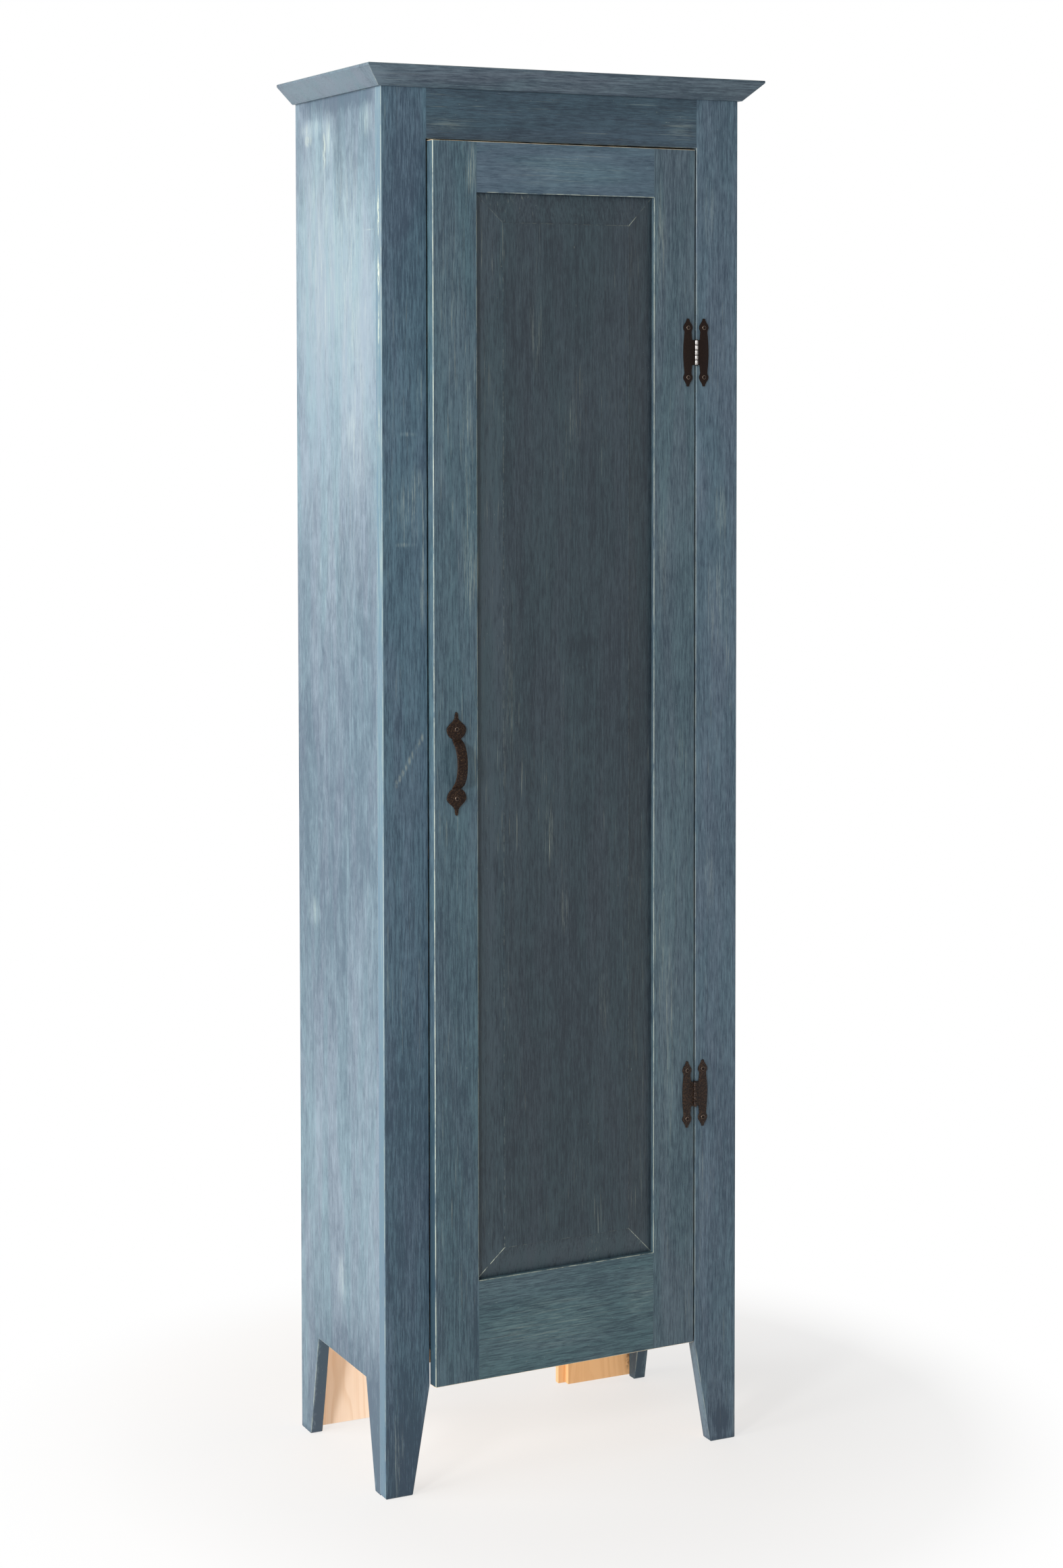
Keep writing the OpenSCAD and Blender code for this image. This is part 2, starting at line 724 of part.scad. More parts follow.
// The spade runs down as far as the strap's neck
module spade_outline() {
    low = -sqrt(pow(spade_w / 2, 2) - pow((strap_w - neck_in) / 2, 2));
    hs = [for (i = [0 : spade_steps]) low + (spade_tip_l - low) * i / spade_steps];
    polygon(concat(
        [for (h = hs) [spade_half(h), h]],
        [for (i = [spade_steps - 1 : -1 : 0]) [-spade_half(hs[i]), hs[i]]]));
    neck_w = strap_w - neck_in;
    neck_l = pull_screw_gap / 2 - bow_l / 2 + strap_t;
    translate([-neck_w / 2, -neck_l]) square([neck_w, neck_l]);
}

// The strap's side view: a half ellipse of even thickness
module bow_profile() {
    steps = 36;
    function arc(reach, out) = [for (i = [0 : steps]) [out * sin(180 * i / steps), reach * cos(180 * i / steps)]];
    outer = arc(bow_l / 2, bow_out);
    inner = arc(bow_l / 2 - strap_t, bow_out - strap_t);
    polygon(concat(outer, [for (i = [steps : -1 : 0]) inner[i]]));
}

module pull_handle() {
    color(iron) on_door() difference() {
        translate([pull_x, face_y, pull_z]) union() {
            for (flip = [0, 1])
                mirror([0, 0, flip]) translate([0, 0, pull_screw_gap / 2]) rotate([90, 0, 0])
                    linear_extrude(spade_t) spade_outline();
            translate([strap_w / 2, 0, 0]) rotate([90, 0, -90])
                linear_extrude(strap_w) bow_profile();
        }
        pull_screws_at() small_screw_hole(small_screw_l + spade_t);
    }
}

module pull_screws_at() {
    for (end = [-1, 1])
        translate([pull_x, face_y - spade_t, pull_z + end * pull_screw_gap / 2])
            rotate([-90, 0, 0]) children();
}

module pull_screws() { color(iron) on_door() pull_screws_at() small_screw(small_screw_l + spade_t); }

// The magnetic catch: a housing with two ears, a magnet between two pole plates, and its strike plate

module catch_screws_at() {
    for (side = [-1, 1])
        translate([pull_x + side * (catch_w - ear_w) / 2, catch_y + catch_d / 2, catch_z - ear_t]) children();
}

// The pocket for the magnet and its two plates, open at the front
module catch_core(y_front) {
    core_h = magnet_h + 2 * plate_t;
    block([pull_x - magnet_w / 2, y_front, strike_z - core_h / 2],
        [pull_x + magnet_w / 2, catch_y + plate_proud + magnet_d, strike_z + core_h / 2]);
}

// The plates stand a little proud of the housing, so the strike meets them alone
plate_proud = 1;

module catch_housing() {
    color([0.35, 0.22, 0.14]) difference() {
        union() {
            block([pull_x - catch_w / 2 + ear_w, catch_y + plate_proud, catch_z - catch_h],
                [pull_x + catch_w / 2 - ear_w, catch_y + catch_d, catch_z]);
            block([pull_x - catch_w / 2, catch_y + plate_proud, catch_z - ear_t],
                [pull_x + catch_w / 2, catch_y + catch_d, catch_z]);
        }
        catch_core(catch_y - past);
        catch_screws_at() small_screw_hole(small_screw_l + ear_t);
    }
}

module catch_magnet() {
    color([0.12, 0.12, 0.13])
        block([pull_x - magnet_w / 2, catch_y + plate_proud, strike_z - magnet_h / 2],
            [pull_x + magnet_w / 2, catch_y + plate_proud + magnet_d, strike_z + magnet_h / 2]);
}

module catch_plates() {
    color(steel) for (side = [-1, 1])
        translate([0, 0, side * (magnet_h + plate_t) / 2])
            block([pull_x - magnet_w / 2, catch_y, strike_z - plate_t / 2],
                [pull_x + magnet_w / 2, catch_y + plate_proud + magnet_d, strike_z + plate_t / 2]);
}

module catch_screws() { color(steel) catch_screws_at() small_screw(small_screw_l + ear_t); }

module strike_screw_at() {
    translate([pull_x, face_y + door_t + strike_t, strike_z]) rotate([90, 0, 0]) children();
}

module strike_plate() {
    color(steel) on_door() difference() {
        block([pull_x - strike_w / 2, face_y + door_t, strike_z - strike_h / 2],
            [pull_x + strike_w / 2, face_y + door_t + strike_t, strike_z + strike_h / 2]);
        strike_screw_at() small_screw_hole(small_screw_l);
    }
}

module strike_screw() { color(steel) on_door() strike_screw_at() small_screw(small_screw_l); }

left_side();
right_side();
left_face_stile();
right_face_stile();
face_top_rail();
top_board();
left_top_cleat();
right_top_cleat();
rear_top_cleat();
cleat_screws();
top_screws();
bottom_shelf();
shelf_1();
shelf_2();
shelf_3();
shelf_4();
back_board_1();
back_board_2();
back_board_3();
back_board_4();
back_nails();
upper_hinge_frame_leaf();
lower_hinge_frame_leaf();
upper_hinge_pin();
lower_hinge_pin();
frame_hinge_screws();
catch_housing();
catch_magnet();
catch_plates();
catch_screws();
door_pull_stile();
door_hinge_stile();
door_top_rail();
door_bottom_rail();
door_panel();
upper_hinge_door_leaf();
lower_hinge_door_leaf();
door_hinge_screws();
pull_handle();
pull_screws();
strike_plate();
strike_screw();
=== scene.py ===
import json
import math

import bmesh
import bpy
from bpy.props import FloatProperty, FloatVectorProperty, PointerProperty
from mathutils import Euler, Matrix, Vector


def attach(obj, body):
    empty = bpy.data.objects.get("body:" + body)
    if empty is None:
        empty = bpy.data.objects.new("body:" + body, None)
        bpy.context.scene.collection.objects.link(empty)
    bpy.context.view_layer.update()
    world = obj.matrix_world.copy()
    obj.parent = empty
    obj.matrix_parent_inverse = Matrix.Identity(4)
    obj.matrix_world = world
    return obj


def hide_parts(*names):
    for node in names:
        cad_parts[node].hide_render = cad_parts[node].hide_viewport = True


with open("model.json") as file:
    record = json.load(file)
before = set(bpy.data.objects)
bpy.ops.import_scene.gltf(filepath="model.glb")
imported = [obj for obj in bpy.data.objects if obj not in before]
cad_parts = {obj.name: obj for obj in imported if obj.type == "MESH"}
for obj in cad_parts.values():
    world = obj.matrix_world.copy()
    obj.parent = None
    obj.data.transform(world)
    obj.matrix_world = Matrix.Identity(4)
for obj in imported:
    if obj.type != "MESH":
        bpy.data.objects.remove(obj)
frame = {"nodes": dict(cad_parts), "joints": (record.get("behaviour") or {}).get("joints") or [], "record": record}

bl_info = {
    "name": "Chimney Cabinet",
    "version": (1, 0, 0),
    "blender": (4, 5, 0),
    "location": "3D View > Sidebar > Cabinet",
    "description": "Finishes a chimney cabinet in brushed slate-blue stain, bare pine and hammered iron",
    "category": "Object",
}

MM = 0.001
FLOAT = "NodeSocketFloat"
COLOUR = "NodeSocketColor"
VECTOR = "NodeSocketVector"

NODES = frame["nodes"]
BODIES = frame["record"]["behaviour"]["bodies"]
SWING = frame["joints"][0]
PIN = Vector(SWING["pos_m"])
AJAR = math.radians(-SWING["range_deg"][0])


# Where things are

def shutting():
    """Takes a point of the door from where it rests to where it is when the door is shut."""
    about = Matrix.Translation((PIN.x, PIN.y, 0.0))
    return about @ Matrix.Rotation(-AJAR, 4, "Z") @ about.inverted()


TO_SHUT = shutting()
TO_REST = TO_SHUT.inverted()


def body_of(node):
    """The body that a CAD node rides on."""
    return "door" if node in BODIES["door"] else "case"


def shut_points(node):
    """A node's points, with the door turned back to shut."""
    turn = TO_SHUT if body_of(node) == "door" else Matrix()
    return [turn @ vertex.co for vertex in NODES[node].data.vertices]


def shut_box(node):
    """A node's lowest and highest corner, with the door turned back to shut."""
    points = shut_points(node)
    return [Vector([pick(point[i] for point in points) for i in range(3)]) for pick in (min, max)]


SIDE_LOW, SIDE_HIGH = shut_box("left_side")
STILE_LOW, STILE_HIGH = shut_box("left_face_stile")
PULL_STILE_LOW, PULL_STILE_HIGH = shut_box("door_pull_stile")
HINGE_STILE_LOW, HINGE_STILE_HIGH = shut_box("door_hinge_stile")
HALF_W = -SIDE_LOW.x
INNER_HALF = -SIDE_HIGH.x
OPEN_HALF = -STILE_HIGH.x
FACE_Y = STILE_LOW.y
BOARD_Y = STILE_HIGH.y
BACK_Y = SIDE_HIGH.y
BACK_IN_Y = shut_box("back_board_1")[0].y
CASE_H = SIDE_HIGH.z
DOOR_BACK_Y = PULL_STILE_HIGH.y
DOOR_LOW_Z = PULL_STILE_LOW.z
DOOR_HIGH_Z = PULL_STILE_HIGH.z
CUT_OUT_Z = DOOR_LOW_Z
DOOR_LEFT_X = PULL_STILE_LOW.x
DOOR_RIGHT_X = HINGE_STILE_HIGH.x
PANEL_LEFT_X = PULL_STILE_HIGH.x
PANEL_RIGHT_X = HINGE_STILE_LOW.x
PANEL_LOW_Z = shut_box("door_bottom_rail")[1].z
PANEL_HIGH_Z = shut_box("door_top_rail")[0].z
OPEN_TOP_Z = shut_box("face_top_rail")[0].z
BACK_BOARDS = sorted((f"back_board_{i}" for i in (1, 2, 3, 4)), key=lambda node: shut_box(node)[0].x)
LEFT_BACK, RIGHT_BACK = BACK_BOARDS[0], BACK_BOARDS[-1]

# FAR is past every end of the cabinet. CLOSE is the leeway when heights are compared. Edges no longer than
# SHORT stay square. NARROW_AREA is a strip 2 mm wide and 2 m long.
FAR = 9.0
CLOSE = 1e-5
SHORT = 8 * MM
NARROW_AREA = 2 * MM * 2.0

# How far a soft patch reaches into a board, and the painted shade, a dark band up to 10 mm high, where the feet
# stand on the floor
PATCH_DEPTH = 0.03
PAINTED_FLOOR_SHADE = ((0, 0, 0), (1, 1, 0.010), 0.5)

# The panel's bevel, screws, hinge leaves, spade ends and bow: R is a radius, L a length, T a thickness
BEVEL = 37.5 * MM
HEAD_R = 2.95 * MM
SHANK_R = 1.45 * MM
SCREW_L = 11 * MM
KNUCKLE_R = 2.4 * MM
LEAF_T = 1.8 * MM
LEAF_REACH = 12 * MM
LEAF_SCREW_Z = 32.75 * MM
SPADE_R = 13.6 * MM
SPADE_TIP_L = 22 * MM
SPADE_TIP_R = 2.3 * MM
SPADE_T = 2.4 * MM
BOW_HALF = 31 * MM
BOW_OUT = 20.5 * MM
BOW_T = 2.8 * MM


# Sizes, colours and lights that a user would change

class CabinetStain(bpy.types.PropertyGroup):
    """The brushed stain on the outside"""

    deep: FloatVectorProperty(
        name="Deep stain", description="Colour where the stain lies thick",
        default=(0.0258, 0.0550, 0.0834), size=3, min=0.0, max=1.0, subtype="COLOR")
    thin: FloatVectorProperty(
        name="Thin stain", description="Colour where the stain is brushed thin",
        default=(0.0918, 0.1620, 0.2052), size=3, min=0.0, max=1.0, subtype="COLOR")
    cream: FloatVectorProperty(
        name="Rubbed", description="Colour of marks where the stain is rubbed almost through",
        default=(0.42, 0.46, 0.38), size=3, min=0.0, max=1.0, subtype="COLOR")


class CabinetPine(bpy.types.PropertyGroup):
    """The bare pine inside and behind"""

    early: FloatVectorProperty(
        name="Pale wood", description="Colour of the wood between the year rings",
        default=(0.93, 0.71, 0.46), size=3, min=0.0, max=1.0, subtype="COLOR")
    late: FloatVectorProperty(
        name="Ring wood", description="Colour of the dark part of a year ring",
        default=(0.78, 0.52, 0.28), size=3, min=0.0, max=1.0, subtype="COLOR")
    spot: FloatVectorProperty(
        name="Spots", description="Colour of dark spots in the wood",
        default=(0.16, 0.075, 0.03), size=3, min=0.0, max=1.0, subtype="COLOR")
    ring_gap: FloatProperty(
        name="Ring gap", description="Distance between two year rings",
        default=3.4 * MM, min=1 * MM, max=10 * MM, unit="LENGTH", subtype="DISTANCE")


class CabinetIron(bpy.types.PropertyGroup):
    """The hammered fittings"""

    dark: FloatVectorProperty(
        name="Iron", description="Colour of the hammered iron",
        default=(0.0100, 0.0050, 0.0036), size=3, min=0.0, max=1.0, subtype="COLOR")
    # The fleck colour also stands for painted highlights on the ridges between the dents.
    fleck_and_glint_colour: FloatVectorProperty(
        name="Flecks", description="Colour of the bronze flecks on the ridges between the dents",
        default=(0.30, 0.175, 0.095), size=3, min=0.0, max=1.0, subtype="COLOR")
    dent: FloatProperty(
        name="Dent size", description="Distance from one hammered dent to the next",
        default=2.0 * MM, min=1 * MM, max=8 * MM, unit="LENGTH", subtype="DISTANCE")


class CabinetShape(bpy.types.PropertyGroup):
    """Small shapes that finish the boards and fittings"""

    arris: FloatProperty(
        name="Arris", description="Radius of the eased arrises on the outside",
        default=0.9 * MM, min=0.2 * MM, max=3 * MM, unit="LENGTH", subtype="DISTANCE")
    inner_arris: FloatProperty(
        name="Inner arris", description="Radius of the arrises on shelves, cleats and back boards",
        default=0.6 * MM, min=0.1 * MM, max=2 * MM, unit="LENGTH", subtype="DISTANCE")
    leaf_rim: FloatProperty(
        name="Leaf rim", description="Radius of the rims of hinge leaves and pull",
        default=0.5 * MM, min=0.1 * MM, max=0.8 * MM, unit="LENGTH", subtype="DISTANCE")
    screw_dome: FloatProperty(
        name="Screw dome", description="How far a screw head stands up in its middle",
        default=0.75 * MM, min=0.1 * MM, max=1.5 * MM, unit="LENGTH", subtype="DISTANCE")


class CabinetStage(bpy.types.PropertyGroup):
    """Floor, lights and camera"""

    floor: FloatVectorProperty(
        name="Floor", description="Colour of the pale floor",
        default=(0.90, 0.885, 0.87), size=3, min=0.0, max=1.0, subtype="COLOR")
    glow: FloatProperty(
        name="Floor glow", description="Share of the floor's brightness that it gives off itself",
        default=0.79, min=0.0, max=1.0, subtype="FACTOR")
    room: FloatProperty(
        name="Room light", description="Strength of the even light from all round",
        default=0.22, min=0.0, max=2.0)
    side_lamp: FloatProperty(
        name="Side lamp", description="Power of the large soft lamp on the left",
        default=117.0, min=0.0, max=1000.0)
    front_lamp: FloatProperty(
        name="Front lamp", description="Power of the soft lamp in front and to the left",
        default=87.0, min=0.0, max=1000.0)
    back_lamp: FloatProperty(
        name="Back lamp", description="Power of the soft lamp behind",
        default=24.0, min=0.0, max=1000.0)
    low_lamp: FloatProperty(
        name="Low lamp", description="Power of the low lamp that reaches in between the feet",
        default=42.0, min=0.0, max=1000.0)
    lens: FloatProperty(
        name="Lens", description="Focal length of the camera, in millimetres",
        default=67.26, min=20.0, max=200.0)


# Building node trees

class Value:
    """What a node puts out. Arithmetic with it places a node for each step."""

    def __init__(self, socket):
        self.socket = socket
        self.tree = socket.id_data

    def __add__(self, other):
        return calc("ADD", self, other)

    def __radd__(self, other):
        return calc("ADD", other, self) if other else self

    def __sub__(self, other):
        return calc("SUBTRACT", self, other)

    def __rsub__(self, other):
        return calc("SUBTRACT", other, self)

    def __mul__(self, other):
        return calc("MULTIPLY", self, other)

    def __truediv__(self, other):
        return calc("DIVIDE", self, other)


def place(tree, kind, output, sockets=None, **settings):
    """Adds a node, sets it, feeds its sockets and gives one of its outputs."""
    made = tree.nodes.new(kind)
    for key, value in settings.items():
        setattr(made, key, value)
    for key, value in (sockets or {}).items():
        feed(made.inputs[key], value)
    return Value(made.outputs[output])


def feed(socket, value):
    """Links a socket to what a node puts out, or sets it."""
    if isinstance(value, Value):
        value.tree.links.new(value.socket, socket)
    elif socket.type == "RGBA" and len(value) == 3:
        socket.default_value = (*value, 1.0)
    else:
        socket.default_value = value


def tree_of(*values):
    """The tree of the first of some values that has one."""
    return next(value.tree for value in values if isinstance(value, Value))


def calc(operation, *values, clamp=False):
    """One step of arithmetic, on vectors where the values are vectors."""
    tree = tree_of(*values)
    first = next(value for value in values if isinstance(value, Value))
    if first.socket.type in ("VECTOR", "RGBA"):
        output = "Value" if operation == "LENGTH" else "Vector"
        return place(tree, "ShaderNodeVectorMath", output, dict(enumerate(values)), operation=operation)
    return place(tree, "ShaderNodeMath", 0, dict(enumerate(values)), operation=operation, use_clamp=clamp)


def fade(value, start, end):
    """0 before start and 1 past end, with a soft change between."""
    return place(value.tree, "ShaderNodeMapRange", "Result",
                 {"Value": value, "From Min": start, "From Max": end}, interpolation_type="SMOOTHSTEP")


def tint(share, first, second, blend_type="MIX"):
    """Mixes two colours."""
    return place(tree_of(share, first, second), "ShaderNodeMix", 2, {0: share, 6: first, 7: second},
                 data_type="RGBA", blend_type=blend_type)


def parts(vector):
    """The three parts of a vector."""
    made = place(vector.tree, "ShaderNodeSeparateXYZ", 0, {"Vector": vector}).socket.node
    return [Value(socket) for socket in made.outputs]


def noise(vector, scale, detail, output="Fac", **sockets):
    """Noise at a scale."""
    return place(vector.tree, "ShaderNodeTexNoise", output,
                 {"Vector": vector, "Scale": scale, "Detail": detail, **sockets})


def marks(vector, across, along, detail=2.0, roughness=0.55, distortion=0.0):
    """Noise drawn out along Z; across and along are marks a metre."""
    return noise(vector * (across, across, along), 1.0, detail, Roughness=roughness, Distortion=distortion)


def moved(vector, location, rotation):
    """A vector turned and moved."""
    return place(vector.tree, "ShaderNodeMapping", 0,
                 {"Vector": vector, "Location": location, "Rotation": rotation})


def new_group(name, vectors, colours="", numbers="", results=""):
    """An empty node group with named sockets, and what its inputs give."""
    tree = bpy.data.node_groups.new(name, "ShaderNodeTree")
    for labels, kind in ((vectors, VECTOR), (colours, COLOUR), (numbers, FLOAT)):
        for label in labels.split():
            tree.interface.new_socket(label, in_out="INPUT", socket_type=kind)
    for label in results.split():
        tree.interface.new_socket(label, in_out="OUTPUT", socket_type=COLOUR if label == "Color" else FLOAT)
    given = tree.nodes.new("NodeGroupInput").outputs
    return tree, {socket.name: Value(socket) for socket in given if socket.name}


def put_out(tree, **results):
    """Links a group's results to its output node."""
    out = tree.nodes.new("NodeGroupOutput")
    for label, result in results.items():
        feed(out.inputs[label], result)
    return tree


def use(maker, vector, **sockets):
    """Places a shared group, which is built the first time that it is asked for."""
    shared = bpy.data.node_groups.get(maker.__doc__.split(":")[0]) or maker()
    made = vector.tree.nodes.new("ShaderNodeGroup")
    made.node_tree = shared
    for key, value in {"Vector": vector, **sockets}.items():
        feed(made.inputs[key], value)
    return {socket.name: Value(socket) for socket in made.outputs}


# Shared effects

def brush_marks():
    """Brush marks: grain and brush marks along Z, as values round a half."""
    tree, given = new_group("Brush marks", "Vector",
                            results="Fine Lines Bands Mottle Clouds Hue Strokes Flecks Dots")
    vector = given["Vector"]
    return put_out(
        tree,
        Fine=marks(vector, 760, 48, 4.0, 0.75),
        Lines=marks(vector, 360, 11, 3.0, 0.65),
        Bands=marks(vector, 75, 3.0, 4.0, 0.6, 0.4),
        Mottle=marks(vector, 70, 34, 5.0, 0.7, 0.6),
        Clouds=marks(vector, 11, 3.6, 5.0, 0.62, 0.8),
        Hue=marks(vector, 30, 4.0, 3.0, 0.5, 0.5),
        Strokes=marks(vector, 560, 12, 3.0, 0.6),
        Flecks=marks(vector, 640, 110, 2.0),
        Dots=marks(vector, 640, 420, 0.0))


def gap_to_box(given):
    """How far inside a box a place is, along each axis."""
    return parts(calc("MINIMUM", given["Vector"] - given["Low"], given["High"] - given["Vector"]))


def worn_arrises():
    """Worn arrises: the eased faces of a board and a little beside them, broken up by noise."""
    tree, given = new_group("Worn arrises", "Vector Low High", numbers="Rounded Reach", results="Worn")
    x, y, z = gap_to_box(given)
    near = calc("MAXIMUM", calc("MINIMUM", x, y), calc("MINIMUM", calc("MAXIMUM", x, y), z))
    ragged = marks(given["Vector"], 45, 22, 4.0, 0.7)
    reach = given["Reach"] * (fade(ragged, 0.45, 0.70) * 2.0)
    worn = fade(reach - near, 0.0, 0.6 * MM)
    rounded = given["Rounded"] * fade(ragged, 0.34, 0.60)
    return put_out(tree, Worn=calc("MAXIMUM", worn, rounded, clamp=True))


def soft_patch():
    """Soft patch: 1 in the middle of an egg-shaped place, 0 outside it."""
    tree, given = new_group("Soft patch", "Vector Centre Reach", results="Mask")
    offset = (given["Vector"] - given["Centre"]) / given["Reach"]
    return put_out(tree, Mask=fade(calc("LENGTH", offset), 1.0, 0.15))


def coat_edge():
    """Coat edge: 1 where a board is left bare, past the box that the stain was brushed in."""
    tree, given = new_group("Coat edge", "Vector Low High", numbers="Ragged", results="Bare")
    vector = given["Vector"]
    x, y, z = parts(calc("MAXIMUM", vector - given["High"], given["Low"] - vector))
    furthest = calc("MAXIMUM", calc("MAXIMUM", x, y), z)
    furthest += (noise(vector, 90.0, 4.0) - 0.5) * given["Ragged"]
    return put_out(tree, Bare=fade(furthest, 0.0, 0.06 * MM))


def brushed_stain():
    """Brushed stain: thin stain brushed along the grain, with clouds, rubbed marks and worn arrises."""
    tree, given = new_group("Brushed stain", "Vector", "Deep Thin Rubbed",
                            "Streaks Clouds Marks Worn Pale Dark", "Color Roughness Height")
    brush = use(brush_marks, given["Vector"])
    names = ("Fine", "Lines", "Bands", "Mottle", "Clouds", "Hue")
    fine, lines, bands, mottle, clouds, hue = (brush[name] - 0.5 for name in names)
    tone = 0.5 + (fine * 3.3 + lines * 1.5 + bands * 0.5) * given["Streaks"]
    tone += (mottle * 0.9 + clouds * 0.9) * given["Clouds"]
    # Pale and Dark lighten and darken the tone; besides thin and thick stain they carry painted light and painted
    # shade.
    tone = calc("SUBTRACT", tone + given["Pale"] * 0.35, given["Dark"] * 0.8, clamp=True)
    shift = tint(fade(hue, -0.16, 0.16), (1.05, 0.99, 1.00), (0.93, 1.01, 0.99))
    colour = tint(1.0, tint(tone, given["Deep"], given["Thin"]), shift, "MULTIPLY")
    strokes = fade(brush["Strokes"], 0.60, 0.76) * fade(brush["Clouds"], 0.46, 0.64)
    flecks = fade(brush["Flecks"], 0.74, 0.82) * fade(brush["Hue"], 0.38, 0.56)
    dots = fade(brush["Dots"], 0.87, 0.90) * 0.45
    broken = brush["Strokes"] * 0.6 + brush["Fine"] * 0.4
    rubbed = (strokes + (flecks + dots)) * given["Marks"]
    rubbed += given["Pale"] * (fade(broken, 0.46, 0.64) * 0.45)
    rubbed = calc("MAXIMUM", rubbed, given["Worn"], clamp=True)
    return put_out(tree, Color=tint(rubbed, colour, given["Rubbed"]),
                   Roughness=0.50 + lines * 0.25 + rubbed * 0.12, Height=brush["Fine"] + lines * 0.8)


def planed_pine():
    """Planed pine: year rings round a heart line along Z, with fine fibre."""
    tree, given = new_group("Planed pine", "Vector", "Early Late", "Rings", "Color Roughness Height Late")
    vector = given["Vector"]
    slow = noise(vector * (6.0, 6.0, 1.6), 1.0, 3.0, "Color")
    x, y, z = parts(vector + (slow - (0.5, 0.5, 0.5)) * (0.05, 0.05, 0.0))
    growth = (calc("SQRT", x * x + y * y) + z * 0.006) * given["Rings"]
    uneven = place(tree, "ShaderNodeTexNoise", "Fac", {"W": growth * 0.7, "Scale": 1.0},
                   noise_dimensions="1D")
    ring = calc("FRACT", growth + uneven * 0.9)
    late = fade(ring, 0.35, 0.90) * fade(ring, 1.0, 0.92) * (0.35 + fade(uneven, 0.25, 0.75) * 0.65)
    fibre = marks(vector, 700, 10, 3.0, 0.6)
    broad = marks(vector, 12, 2, 3.0)
    share = late * 0.55 + (fibre - 0.45) * 0.6 + (broad - 0.45) * 0.9
    colour = tint(calc("MAXIMUM", share, 0.0, clamp=True), given["Early"], given["Late"])
    return put_out(tree, Color=colour, Roughness=0.62 - late * 0.12, Height=fibre * 0.5 + late * 0.5,
                   Late=late)


def hammered_iron():
    """Hammered iron: shallow dents with warm flecks on the ridges between them."""
    tree, given = new_group("Hammered iron", "Vector", "Iron Flecks", "Dents Amount Sparkle",
                            "Color Roughness Height")
    vector = given["Vector"]
    warp = (noise(vector, 240.0, 1.0, "Color") - (0.5, 0.5, 0.5)) * (1.4 * MM, 1.4 * MM, 1.4 * MM)
    dent = place(tree, "ShaderNodeTexVoronoi", "Distance",
                 {"Vector": vector + warp, "Scale": given["Dents"], "Smoothness": 0.7}, feature="SMOOTH_F1")
    speck = noise(vector, 1300.0, 2.0)
    rise = fade(dent, 0.34, 0.64)
    # The ridges between the dents get bronze flecks and specks: partly the finish, partly painted highlights and
    # glints.
    ridge_flecks_and_glints = (rise * 0.075 + rise * fade(speck, 0.56, 0.68) * given["Sparkle"]) * given["Amount"]
    return put_out(tree, Color=tint(ridge_flecks_and_glints, given["Iron"], given["Flecks"]), Roughness=0.34 + speck * 0.2,
                   Height=dent * given["Amount"] + speck * 0.06)


def panel_lines():
    """Panel lines: the mitres of a raised panel's bevel and the line round its field."""
    tree, given = new_group("Panel lines", "Vector Low High", results="Mitre Field")
    x, _, z = gap_to_box(given)
    nearest = calc("MINIMUM", x, z)
    ragged = marks(given["Vector"], 120, 120, 3.0, 0.7)
    mitre = fade(calc("ABSOLUTE", x - z), 1.0 * MM, 0.3 * MM) * fade(nearest, 38.5 * MM, 37.0 * MM)
    field = fade(calc("ABSOLUTE", nearest - BEVEL), 0.9 * MM, 0.2 * MM)
    return put_out(tree, Mitre=mitre * fade(ragged, 0.38, 0.55), Field=field * fade(ragged, 0.45, 0.62))


# Materials

def new_material(name):
    """A material with an empty tree."""
    material = bpy.data.materials.new(name)
    material.use_nodes = True
    material.node_tree.nodes.clear()
    return material, material.node_tree


def put_on(shader, kind="ShaderNodeOutputMaterial"):
    """Puts a shader on the surface."""
    feed(shader.tree.nodes.new(kind).inputs["Surface"], shader)


def shaded(colour, rough, height, relief, strength, **plain):
    """A Principled shader with a bump, put on the surface."""
    bump = place(colour.tree, "ShaderNodeBump", 0,
                 {"Height": height, "Distance": relief, "Strength": strength})
    sockets = {key.replace("_", " "): value for key, value in plain.items()}
    put_on(place(colour.tree, "ShaderNodeBsdfPrincipled", 0,
                 {"Base Color": colour, "Roughness": rough, "Normal": bump, **sockets}))


def straight(tree, body):
    """Object coordinates, with those of the door turned back to shut."""
    where = place(tree, "ShaderNodeTexCoord", "Object")
    if body != "door":
        return where
    return moved(where, TO_SHUT.to_translation(), (0.0, 0.0, -AJAR))


QUARTER = math.radians(90)
GRAIN_TURNS = {"X": (0.0, QUARTER, 0.0), "Y": (QUARTER, 0.0, 0.0), "Z": (0.0, 0.0, 0.0)}


def heart_line(vector, grain, seed, node, depth):
    """Turns a board's grain to run along Z, with the heart of its tree beside the board's middle."""
    turn = Euler(GRAIN_TURNS[grain]).to_matrix()
    low, high = shut_box(node)
    size = turn @ (high - low)
    thin = 0 if abs(size.x) < abs(size.y) else 1
    in_log = -(turn @ ((low + high) / 2))
    in_log[thin] += depth
    in_log[1 - thin] += ((seed * 37) % 11 - 5) * 5 * MM
    in_log.z += 1.7 * seed
    return moved(vector, in_log, GRAIN_TURNS[grain])


def times(colour, tone):
    """A colour made lighter or darker, part by part."""
    return [a * b for a, b in zip(colour, tone)]


def patches(vector, places):
    """The sum of some soft patches, each a centre, a reach and a strength."""
    return sum(use(soft_patch, vector, Centre=centre, Reach=reach)["Mask"] * strength
               for centre, reach, strength in places)


